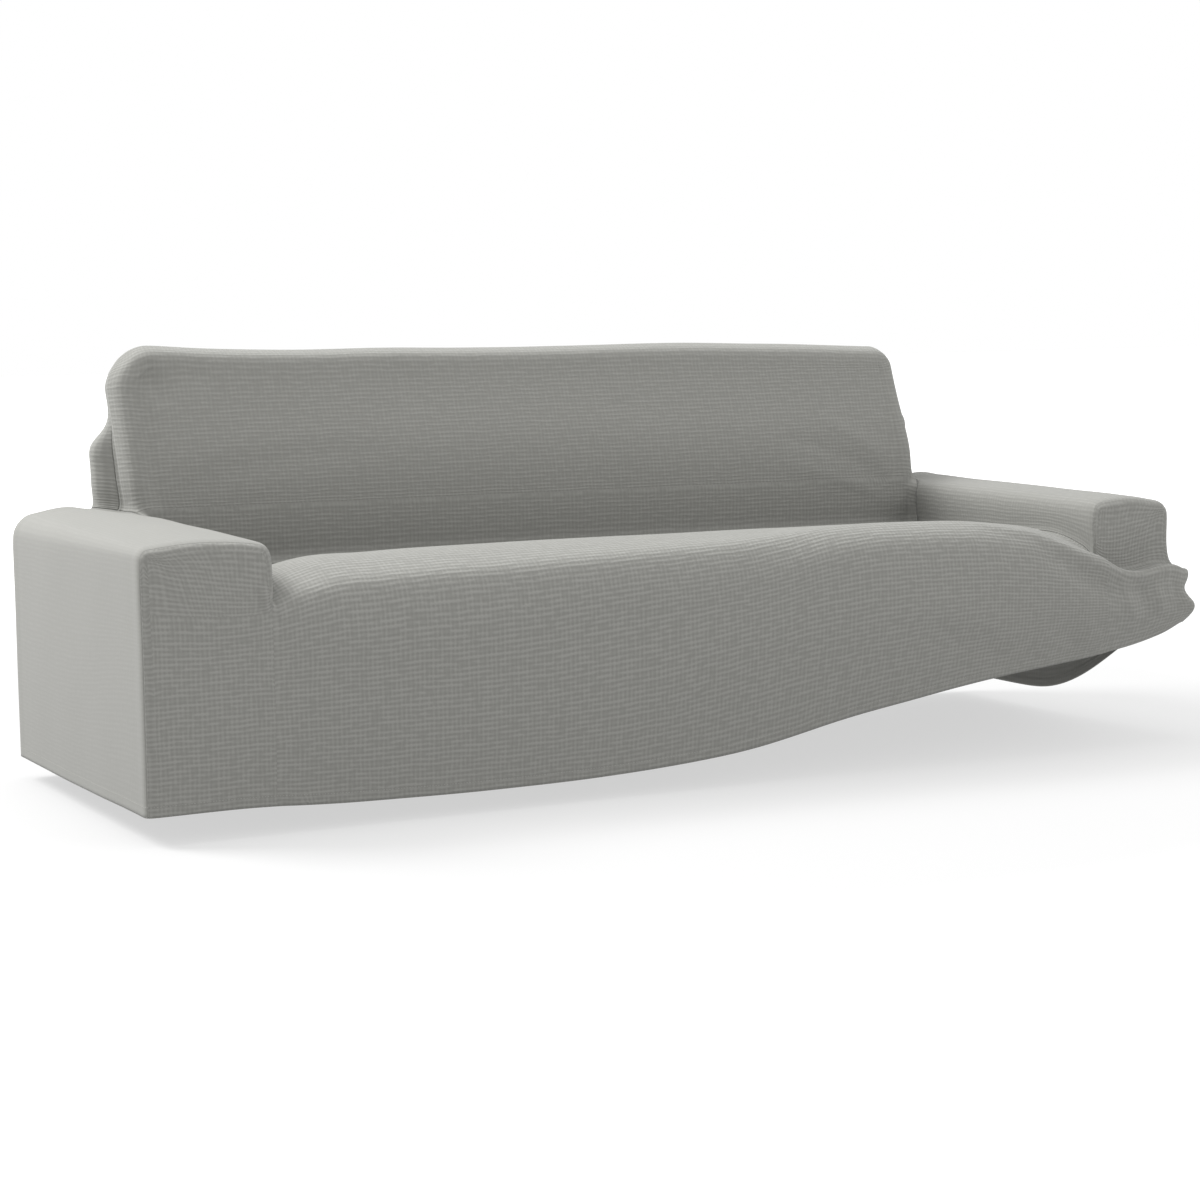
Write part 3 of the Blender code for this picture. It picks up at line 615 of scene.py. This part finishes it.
def normals_of(mesh):
    flat = np.empty(len(mesh.vertices) * 3)
    mesh.vertices.foreach_get("normal", flat)
    return flat.reshape(-1, 3)


# Rounding draws the cloth in, so the large faces' corners are moved out until it passes through them again
wanted = points_of(skin_mesh)
corners = wanted.copy()
for _ in range(FITTING_ROUNDS):
    tried = rounded_skin(1)
    directions = normals_of(tried)[: len(wanted)]
    drawn_in = ((wanted - points_of(tried)[: len(wanted)]) * directions).sum(axis=1)
    corners += directions * drawn_in[:, None]
    bpy.data.meshes.remove(tried)
    skin_mesh.vertices.foreach_set("co", corners.ravel())
    skin_mesh.update()

fine = rounded_skin(SMOOTHING)
places = points_of(fine)
outwards = normals_of(fine)
corner_verts = np.empty(len(fine.loops), int)
fine.loops.foreach_get("vertex_index", corner_verts)
quads = corner_verts.reshape(-1, 4)
panel_of = np.empty(len(fine.polygons), int)
fine.polygons.foreach_get("material_index", panel_of)
flat_places = np.empty(len(fine.loops) * 2)
fine.uv_layers["flat"].data.foreach_get("uv", flat_places)
flat_places = flat_places.reshape(-1, 4, 2)

# Distance of every place from the nearest seam and from the hem
edge_panels = {}
for quad, panel in zip(quads.tolist(), panel_of.tolist()):
    for a, b in zip(quad, quad[1:] + quad[:1]):
        edge_panels.setdefault((min(a, b), max(a, b)), []).append(panel)

# The tabs' seams along the tops of the arms' fronts are stretched smooth: they lie above this, and in front
SMOOTH_ABOVE_Z = 0.500
SMOOTH_BEFORE_Y = -0.380


def shows_trough(edge):
    """Whether a seam draws the cloth in where this edge of it runs."""
    _, y, z = places[edge[0]]
    return z < SMOOTH_ABOVE_Z or y > SMOOTH_BEFORE_Y


seam_edges = [edge for edge, sides in edge_panels.items() if len(set(sides)) == 2 and shows_trough(edge)]
hem_edges = [edge for edge, sides in edge_panels.items() if len(sides) == 1]


def distance_from(edges):
    """Distance of every point of the skin from the nearest of these edges."""
    tree = kdtree.KDTree(len(edges) * 4)
    for number, (a, b) in enumerate(edges):
        for step in range(4):
            tree.insert(mix(places[a], places[b], step / 4), number * 4 + step)
    tree.balance()
    return np.array([tree.find(place)[2] for place in places])


from_seam = distance_from(seam_edges)
from_hem = distance_from(hem_edges)

# Creases, listed one by one. Each follows its points over the sofa; a height below 0 is a trough.
CREASES = (
    # half width, height, points
    # between the back's face and its left end, from the top edge down to the arm, and a dimple beside it
    (0.022, -0.0075, ((-0.912, 0.347, 0.880), (-0.920, 0.339, 0.827), (-0.925, 0.330, 0.785),
                      (-0.931, 0.310, 0.713), (-0.934, 0.291, 0.640), (-0.936, 0.275, 0.572))),
    (0.024, -0.0055, ((-0.922, 0.342, 0.855), (-0.900, 0.338, 0.822), (-0.880, 0.338, 0.785))),
    (0.030, -0.0022, ((-0.915, 0.343, 0.842), (-0.858, 0.344, 0.846), (-0.769, 0.345, 0.850))),
    # puckers where the slit between arm and seat ends
    (0.007, -0.0035, ((-0.974, -0.440, 0.466), (-0.968, -0.440, 0.440), (-0.960, -0.440, 0.412))),
    (0.007, 0.0028, ((-0.962, -0.440, 0.470), (-0.957, -0.440, 0.440), (-0.952, -0.440, 0.416))),
    (0.008, -0.0035, ((-0.950, -0.440, 0.452), (-0.944, -0.440, 0.424), (-0.934, -0.440, 0.396))),
    # slack fold that runs from the wave down to the right corner: a rim, and a trough under it
    (0.013, 0.0060, ((0.640, -0.432, 0.508), (0.706, -0.446, 0.494), (0.772, -0.457, 0.478),
                     (0.838, -0.475, 0.452), (0.913, -0.486, 0.418), (0.994, -0.486, 0.386),
                     (1.060, -0.482, 0.380), (1.145, -0.478, 0.391), (1.200, -0.474, 0.392))),
    (0.022, -0.0075, ((0.770, -0.482, 0.448), (0.838, -0.489, 0.418), (0.898, -0.494, 0.382),
                      (0.958, -0.493, 0.354), (1.042, -0.490, 0.346), (1.124, -0.490, 0.354))),
    # soft upright gathers below it, where the corner is bunched
    (0.016, 0.0050, ((1.003, -0.489, 0.368), (1.015, -0.489, 0.325), (1.030, -0.484, 0.275))),
    (0.013, -0.0045, ((1.045, -0.489, 0.366), (1.056, -0.488, 0.330), (1.068, -0.484, 0.290))),
    (0.014, 0.0045, ((1.088, -0.490, 0.372), (1.098, -0.488, 0.330), (1.112, -0.483, 0.290))),
    (0.012, -0.0045, ((1.130, -0.490, 0.380), (1.140, -0.488, 0.345), (1.158, -0.482, 0.300))),
    (0.012, -0.0050, ((1.165, -0.480, 0.352), (1.190, -0.470, 0.335), (1.214, -0.440, 0.325),
                      (1.216, -0.400, 0.320))),
    (0.011, 0.0045, ((1.165, -0.484, 0.318), (1.195, -0.472, 0.305), (1.216, -0.440, 0.298),
                     (1.212, -0.390, 0.300))),
    # long soft ridges and troughs of the cloth that is drawn up to the right
    (0.040, 0.0040, ((0.420, -0.494, 0.352), (0.572, -0.492, 0.318), (0.645, -0.490, 0.291),
                     (0.760, -0.480, 0.258))),
    (0.035, -0.0035, ((0.470, -0.492, 0.300), (0.590, -0.488, 0.262), (0.700, -0.476, 0.232))),
    (0.020, 0.0025, ((0.780, -0.489, 0.292), (0.800, -0.478, 0.245), (0.824, -0.459, 0.198))),
    (0.020, -0.0025, ((0.838, -0.489, 0.300), (0.862, -0.478, 0.255), (0.884, -0.460, 0.208))),
    (0.020, 0.0025, ((0.894, -0.490, 0.300), (0.916, -0.480, 0.262), (0.940, -0.462, 0.216))),
    (0.060, -0.0040, ((-0.420, -0.452, 0.350), (-0.175, -0.455, 0.372), (0.095, -0.470, 0.395),
                      (0.330, -0.487, 0.400))),
    (0.045, 0.0035, ((0.000, -0.440, 0.470), (0.200, -0.440, 0.502), (0.421, -0.455, 0.500),
                     (0.670, -0.462, 0.482))),
    # pulls in the back's cloth towards the arms, and slight waves along its top
    (0.018, 0.0022, ((0.890, 0.268, 0.500), (0.800, 0.270, 0.545), (0.700, 0.273, 0.578),
                     (0.600, 0.280, 0.600))),
    (0.018, -0.0022, ((0.890, 0.272, 0.545), (0.805, 0.282, 0.600), (0.701, 0.290, 0.640),
                      (0.600, 0.296, 0.660))),
    (0.020, 0.0022, ((0.890, 0.284, 0.600), (0.800, 0.298, 0.665), (0.700, 0.308, 0.710))),
    (0.030, -0.0022, ((-0.900, 0.279, 0.590), (-0.762, 0.288, 0.644), (-0.578, 0.292, 0.668),
                      (-0.400, 0.296, 0.676))),
    (0.026, 0.0020, ((0.120, 0.354, 0.880), (0.160, 0.354, 0.868), (0.178, 0.333, 0.809),
                     (0.200, 0.320, 0.760))),
    (0.030, -0.0020, ((-0.350, 0.354, 0.876), (-0.330, 0.338, 0.810), (-0.320, 0.320, 0.750))),
    # the back cushion's fullness, which the cloth shows as a long low swelling
    (0.110, 0.0090, ((-0.920, 0.290, 0.640), (-0.500, 0.300, 0.665), (0.000, 0.300, 0.665),
                     (0.500, 0.300, 0.660), (0.920, 0.290, 0.640))),
)


def fold_height(points, half_width, height):
    """Height of one fold at every place: round across, and dying out towards both of its ends."""
    line = np.array(points)
    best = np.full(len(places), np.inf)
    position = np.zeros(len(places))
    lengths = np.concatenate(([0.0], np.cumsum(np.linalg.norm(np.diff(line, axis=0), axis=1))))
    for a, b, start in zip(line[:-1], line[1:], lengths):
        step = b - a
        t = np.clip((places - a) @ step / (step @ step), 0, 1)
        distance = np.linalg.norm(places - a - t[:, None] * step, axis=1)
        nearer = distance < best
        best[nearer] = distance[nearer]
        position[nearer] = start + t[nearer] * np.linalg.norm(step)
    run = position / lengths[-1]
    return height * np.exp(-((best / half_width) ** 2)) * (4 * run * (1 - run)) ** 0.5


UNEVENNESS = 0.0012  # of cloth that is stretched over upholstery, in patches of about PATCH
PATCH = 0.16
heights = np.array([noise.noise(Vector(place) / PATCH) for place in places]) * UNEVENNESS
for half_width, height, points in CREASES:
    heights += fold_height(points, half_width, height)
places += outwards * heights[:, None] - np.array(SOFA_PLACE)

# How far the knit's ribs stand up: those of the arms' strips are stretched flat
RIBS_LEFT = {
    "seat_and_front": 1.0, "arm_left": 0.15, "arm_right": 0.45, "inside_back": 0.6, "outside_back": 0.6,
}


def panel_sheet(panel):
    """One panel of the skin as a thin sheet, with its flat map and its distances from seams and hem."""
    chosen = panel_of == PANELS.index(panel)
    used, renumbered = np.unique(quads[chosen], return_inverse=True)
    mesh = bpy.data.meshes.new(panel + "_cloth")
    mesh.from_pydata(places[used], [], renumbered.reshape(-1, 4).tolist())
    mesh.uv_layers.new(name="flat").data.foreach_set("uv", flat_places[chosen].ravel())
    ribs_left = np.full(len(places), RIBS_LEFT[panel])
    for name, values in (("from_seam", from_seam), ("from_hem", from_hem), ("ribs_left", ribs_left)):
        mesh.attributes.new(name, "FLOAT", "POINT").data.foreach_set("value", values[used])
    mesh.shade_smooth()
    sheet = bpy.data.objects.new(panel + "_cloth", mesh)
    bpy.context.scene.collection.objects.link(sheet)
    thickness = sheet.modifiers.new("thickness", "SOLIDIFY")
    thickness.thickness = KNIT_THICKNESS
    thickness.offset = -1
    return sheet


# ---- The knit ----------------------------------------------------------------------------------------------
# Polyester crepe knit with elastane, piece-dyed grey. Its shrunk yarns raise low ribs along the panel, which
# a weaker check crosses. It looks matt, slightly dark where it faces the eye, and soft at its edges.

GROOVE_PAINTED_SHADE_GREY, CREST_PAINTED_LIGHT_GREY = "#72726e", "#81817d"  # painted shade and light: the knit's grey darkened between its ribs and lightened on top of them
RIB_PITCH = 0.0095  # as the photo shows it, between 9 and 10 mm
RIB_HEIGHT = 0.0008
RIB_DASH = 0.026  # length over which a rib stays up before it fades and starts again
RIB_FADED = 0.35  # share of its height that a rib keeps between its dashes
FADED_AT, FULL_AT = 0.34, 0.60  # values of the noise that breaks the ribs into dashes
BAND_EACH_METRE = 2 * pi / 20  # scale at which the wave texture has one band to a metre
CHECK_SHARE = 0.55  # height of the check against that of the ribs
EVEN_HEIGHT = 0.55  # of ribs and check together, on average
SEAM_DEPTH = 0.0007
SEAM_WIDTH = 0.003
HEM_TURN = 0.020  # of cloth turned up and stitched
HEM_STEP = 0.0009  # by which the doubled cloth stands out
HEM_SLOPE = 0.003  # to either side of that step's middle


def linear(hex_colour):
    """A colour's linear values from its sRGB hex digits."""
    parts = [int(hex_colour[at : at + 2], 16) / 255 for at in (1, 3, 5)]
    return tuple(p / 12.92 if p <= 0.04045 else ((p + 0.055) / 1.055) ** 2.4 for p in parts) + (1.0,)


def add(tree, kind, settings=None, **inputs):
    """Add a node. settings are its properties; an input is a value or the socket that feeds it."""
    node = tree.nodes.new(kind)
    for name, value in (settings or {}).items():
        setattr(node, name, value)
    for name, value in inputs.items():
        key = int(name[1:]) if name[0] == "i" and name[1:].isdigit() else name.replace("_", " ")
        if isinstance(value, bpy.types.NodeSocket):
            tree.links.new(value, node.inputs[key])
        else:
            node.inputs[key].default_value = value
    return node


knit = bpy.data.materials.new("grey polyester crepe knit")
knit.use_nodes = True
tree = knit.node_tree
shader = tree.nodes["Principled BSDF"]
shader.inputs["Roughness"].default_value = 0.92
shader.inputs["Specular IOR Level"].default_value = 0.25
shader.inputs["Sheen Weight"].default_value = 0.12
shader.inputs["Sheen Roughness"].default_value = 0.5

flat = add(tree, "ShaderNodeUVMap", {"uv_map": "flat"}).outputs["UV"]


def broken_ribs(bands, stretch):
    """Ribs at the knit's pitch, 0 to 1 high. stretch is the scale of their dashes on the flat map."""
    waves = add(
        tree, "ShaderNodeTexWave", {"bands_direction": bands},
        Vector=flat, Scale=BAND_EACH_METRE / RIB_PITCH, Distortion=2.0, Detail=1.0, Detail_Scale=0.35,
    ).outputs["Fac"]
    dashed = add(tree, "ShaderNodeMapping", None, Vector=flat, Scale=stretch).outputs["Vector"]
    dashes = add(tree, "ShaderNodeTexNoise", {"noise_dimensions": "2D"}, Vector=dashed, Scale=1.0, Detail=1.0)
    kept = add(
        tree, "ShaderNodeMapRange", None,
        Value=dashes.outputs["Fac"], From_Min=FADED_AT, From_Max=FULL_AT, To_Min=RIB_FADED, To_Max=1.0,
    ).outputs[0]
    return add(tree, "ShaderNodeMath", {"operation": "MULTIPLY"}, i0=waves, i1=kept).outputs[0]


ribs = broken_ribs("Y", (1 / RIB_DASH, 1 / RIB_PITCH, 1.0))
check = broken_ribs("X", (1 / RIB_PITCH, 1 / RIB_DASH, 1.0))
crossed = add(
    tree, "ShaderNodeMath", {"operation": "MULTIPLY_ADD"}, i0=check, i1=CHECK_SHARE, i2=ribs
).outputs[0]
ribs_left_here = add(tree, "ShaderNodeAttribute", {"attribute_name": "ribs_left"}).outputs["Fac"]
stretched = add(tree, "ShaderNodeMath", {"operation": "MULTIPLY"}, i0=crossed, i1=ribs_left_here).outputs[0]
relief = add(tree, "ShaderNodeMath", {"operation": "MULTIPLY"}, i0=stretched, i1=RIB_HEIGHT).outputs[0]
# painted shade and light: grooves darker and rib tops lighter, and a flat stretch of cloth shows the even
# grey between both
from_even = add(tree, "ShaderNodeMath", {"operation": "SUBTRACT"}, i0=crossed, i1=EVEN_HEIGHT).outputs[0]
shown = add(
    tree, "ShaderNodeMath", {"operation": "MULTIPLY_ADD"}, i0=from_even, i1=ribs_left_here, i2=0.5
).outputs[0]
shade = add(
    tree, "ShaderNodeMix", {"data_type": "RGBA"}, i0=shown, i6=linear(GROOVE_PAINTED_SHADE_GREY), i7=linear(CREST_PAINTED_LIGHT_GREY)
).outputs[2]
tree.links.new(shade, shader.inputs["Base Color"])

from_seam_here = add(tree, "ShaderNodeAttribute", {"attribute_name": "from_seam"}).outputs["Fac"]
seam_trough = add(
    tree, "ShaderNodeMapRange", {"interpolation_type": "SMOOTHSTEP"},
    Value=from_seam_here, From_Min=0.0, From_Max=SEAM_WIDTH, To_Min=-SEAM_DEPTH, To_Max=0.0,
).outputs[0]
with_seam = add(tree, "ShaderNodeMath", {"operation": "ADD"}, i0=relief, i1=seam_trough).outputs[0]
from_hem_here = add(tree, "ShaderNodeAttribute", {"attribute_name": "from_hem"}).outputs["Fac"]
hem_step = add(
    tree, "ShaderNodeMapRange", {"interpolation_type": "SMOOTHSTEP"},
    Value=from_hem_here, From_Min=HEM_TURN - HEM_SLOPE, From_Max=HEM_TURN + HEM_SLOPE,
    To_Min=HEM_STEP, To_Max=0.0,
).outputs[0]
surface = add(tree, "ShaderNodeMath", {"operation": "ADD"}, i0=with_seam, i1=hem_step).outputs[0]
bump = add(tree, "ShaderNodeBump", None, Height=surface, Distance=1.0, Strength=1.0)
tree.links.new(bump.outputs["Normal"], shader.inputs["Normal"])

# Each panel becomes a thin sheet of the knit, hung from the root in place of the sofa's part of that name
sheets = {}
for panel in PANELS:
    sheets[panel] = panel_sheet(panel)
    sheets[panel].data.materials.append(knit)
    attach(sheets[panel], "root")
    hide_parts(panel)

bpy.data.objects.remove(skin)

# ---- Hem stitching -----------------------------------------------------------------------------------------
# A row of stitches in polyester thread of nearly the cloth's grey, sewn along the top of the turned-up hem of
# every panel that has one. It lies half sunk in the knit, and shows as a fine paler line.

STITCH_LENGTH = 0.0042
STITCH_STEP = 0.0060
STITCH_WIDTH = 0.0010
BEAD_SIDES, BEAD_RINGS = 6, 4  # faces round one stitch and along it
THREAD_GREY = "#8a8a86"


def stitched_line(panel):
    """Where a panel's stitching runs on its outer face: points, and the pairs of them that are joined."""
    points, pairs, numbers = [], [], {}
    above = from_hem - HEM_TURN
    for quad in quads[panel_of == PANELS.index(panel)].tolist():
        met = []
        for a, b in zip(quad, quad[1:] + quad[:1]):
            low, high = min(a, b), max(a, b)
            if above[low] * above[high] < 0:
                if (low, high) not in numbers:
                    numbers[low, high] = len(points)
                    points.append(mix(places[low], places[high], above[low] / (above[low] - above[high])))
                met.append(numbers[low, high])
        if len(met) == 2:
            pairs.append(met)
    return points, pairs


# One long bead of thread, set along a line at even steps
sewing = bpy.data.node_groups.new("stitches along a line", "GeometryNodeTree")
sewing.interface.new_socket("Line", in_out="INPUT", socket_type="NodeSocketGeometry")
sizes = {
    name: sewing.interface.new_socket(name, in_out="INPUT", socket_type="NodeSocketFloat").identifier
    for name in ("Step", "Length", "Width")
}
thread_input = sewing.interface.new_socket(
    "Thread", in_out="INPUT", socket_type="NodeSocketMaterial"
).identifier
sewing.interface.new_socket("Stitches", in_out="OUTPUT", socket_type="NodeSocketGeometry")
given = add(sewing, "NodeGroupInput").outputs
bead_size = add(sewing, "ShaderNodeCombineXYZ", None, X=given["Length"], Y=given["Width"], Z=given["Width"])
bead = add(
    sewing, "GeometryNodeMeshUVSphere", None, Segments=BEAD_SIDES, Rings=BEAD_RINGS, Radius=0.5
).outputs["Mesh"]
stitch = add(
    sewing, "GeometryNodeTransform", None, Geometry=bead, Scale=bead_size.outputs["Vector"]
).outputs["Geometry"]
curve = add(sewing, "GeometryNodeMeshToCurve", None, Mesh=given["Line"]).outputs["Curve"]
stepped = add(
    sewing, "GeometryNodeCurveToPoints", {"mode": "LENGTH"}, Curve=curve, Length=given["Step"]
).outputs
turned = add(
    sewing, "FunctionNodeAlignRotationToVector", {"axis": "X"}, Vector=stepped["Tangent"]
).outputs["Rotation"]
placed = add(
    sewing, "GeometryNodeInstanceOnPoints", None, Points=stepped["Points"], Instance=stitch, Rotation=turned
).outputs["Instances"]
real = add(sewing, "GeometryNodeRealizeInstances", None, Geometry=placed).outputs["Geometry"]
sewn = add(
    sewing, "GeometryNodeSetMaterial", None, Geometry=real, Material=given["Thread"]
).outputs["Geometry"]
sewing.links.new(sewn, add(sewing, "NodeGroupOutput").inputs["Stitches"])

# Smooth polyester thread: a little paler and less matt than the knit
thread = bpy.data.materials.new("grey polyester sewing thread")
thread.use_nodes = True
thread_shader = thread.node_tree.nodes["Principled BSDF"]
thread_shader.inputs["Base Color"].default_value = linear(THREAD_GREY)
thread_shader.inputs["Roughness"].default_value = 0.6

for panel in PANELS:
    points, pairs = stitched_line(panel)
    if not pairs:
        continue
    line_mesh = bpy.data.meshes.new(panel + "_hem_line")
    line_mesh.from_pydata(points, pairs, [])
    line = bpy.data.objects.new(panel + "_hem_line", line_mesh)
    bpy.context.scene.collection.objects.link(line)
    along_line = line.modifiers.new("stitches", "NODES")
    along_line.node_group = sewing
    for name, size in (("Step", STITCH_STEP), ("Length", STITCH_LENGTH), ("Width", STITCH_WIDTH)):
        along_line[sizes[name]] = size
    along_line[thread_input] = thread
    bpy.context.view_layer.update()
    evaluated = line.evaluated_get(bpy.context.evaluated_depsgraph_get())
    stitches_mesh = bpy.data.meshes.new_from_object(evaluated)
    bpy.data.objects.remove(line)
    stitches_mesh.shade_smooth()
    stitches = bpy.data.objects.new(panel + "_hem_stitches", stitches_mesh)
    bpy.context.scene.collection.objects.link(stitches)
    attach(stitches, "root")

# ---- Studio ------------------------------------------------------------------------------------------------
# A pale floor under a white sky, whose glow and paler far part are painted light. A large soft light stands
# high on the left behind the cover, and two weaker ones in front of it and above it.

FLOOR_REACH = 30.0
GREY_TO, WHITE_FROM = 2.0, 7.0  # metres from the middle of the floor
FLOOR_PAINTED_GLOW = 0.6
floor_mesh = bpy.data.meshes.new("floor")
floor_z = -SOFA_PLACE.z
floor_corners = [(x * FLOOR_REACH, y * FLOOR_REACH, floor_z) for x, y in ((-1, -1), (1, -1), (1, 1), (-1, 1))]
floor_mesh.from_pydata(floor_corners, [], [(0, 1, 2, 3)])
floor = bpy.data.objects.new("floor", floor_mesh)
bpy.context.scene.collection.objects.link(floor)
# Painted light: the paper's colour runs from grey round the sofa to white further out, where the lamps light
# it less, so that the floor shows evenly white
paper = bpy.data.materials.new("matt white paper")
paper.use_nodes = True
paper_tree = paper.node_tree
on_floor = add(paper_tree, "ShaderNodeTexCoord").outputs["Object"]
away = add(paper_tree, "ShaderNodeVectorMath", {"operation": "LENGTH"}, i0=on_floor).outputs["Value"]
painted_whitening = add(
    paper_tree, "ShaderNodeMapRange", None, Value=away, From_Min=GREY_TO, From_Max=WHITE_FROM
).outputs[0]
paper_painted_tone = add(
    paper_tree, "ShaderNodeMix", {"data_type": "RGBA"}, i0=painted_whitening, i6=linear("#707070"), i7=linear("#e0e0e0")
).outputs[2]
paper_shader = paper_tree.nodes["Principled BSDF"]
paper_tree.links.new(paper_painted_tone, paper_shader.inputs["Base Color"])
paper_shader.inputs["Roughness"].default_value = 0.9
# painted light: the paper glows though it is no lamp, which keeps the shadows on it pale
paper_shader.inputs["Emission Color"].default_value = (1.0, 1.0, 1.0, 1.0)
paper_shader.inputs["Emission Strength"].default_value = FLOOR_PAINTED_GLOW
floor_mesh.materials.append(paper)

world = bpy.data.worlds.new("white sky")
world.use_nodes = True
world.node_tree.nodes["Background"].inputs["Color"].default_value = (1.0, 1.0, 1.0, 1.0)
world.node_tree.nodes["Background"].inputs["Strength"].default_value = 1.0
bpy.context.scene.world = world


LIGHT_SIZE = 4.0
LIT_POINT = Vector((0.0, 0.0, -0.4))
for name, place, power in (
    ("key light", (-5.5, 3.5, 6.5), 1280.0),
    ("front light", (4.5, -7.0, 3.0), 120.0),
    ("top light", (0.0, -0.6, 7.0), 200.0),
):
    lamp = bpy.data.lights.new(name, "AREA")
    lamp.shape = "SQUARE"
    lamp.size = LIGHT_SIZE
    lamp.energy = power
    light = bpy.data.objects.new(name, lamp)
    light.location = place
    light.rotation_euler = (LIT_POINT - Vector(place)).to_track_quat("-Z", "Y").to_euler()
    bpy.context.scene.collection.objects.link(light)

# The camera stands left of the sofa and looks slightly down
CAMERA_PLACE = (-2.725, -5.621, 0.125)
CAMERA_TURN, CAMERA_TILT, CAMERA_ROLL = -27.205, -6.387, -0.722  # degrees
LENS_MM, FILM_MM = 82.28, 36.0
lens = bpy.data.cameras.new("camera")
lens.lens = LENS_MM
lens.sensor_width = FILM_MM
camera = bpy.data.objects.new("camera", lens)
camera.matrix_world = (
    Matrix.Translation(CAMERA_PLACE)
    @ Matrix.Rotation(radians(CAMERA_TURN), 4, "Z")
    @ Matrix.Rotation(radians(90 + CAMERA_TILT), 4, "X")
    @ Matrix.Rotation(radians(CAMERA_ROLL), 4, "Z")
)
bpy.context.scene.collection.objects.link(camera)
bpy.context.scene.camera = camera
bpy.context.scene.view_settings.view_transform = "Standard"
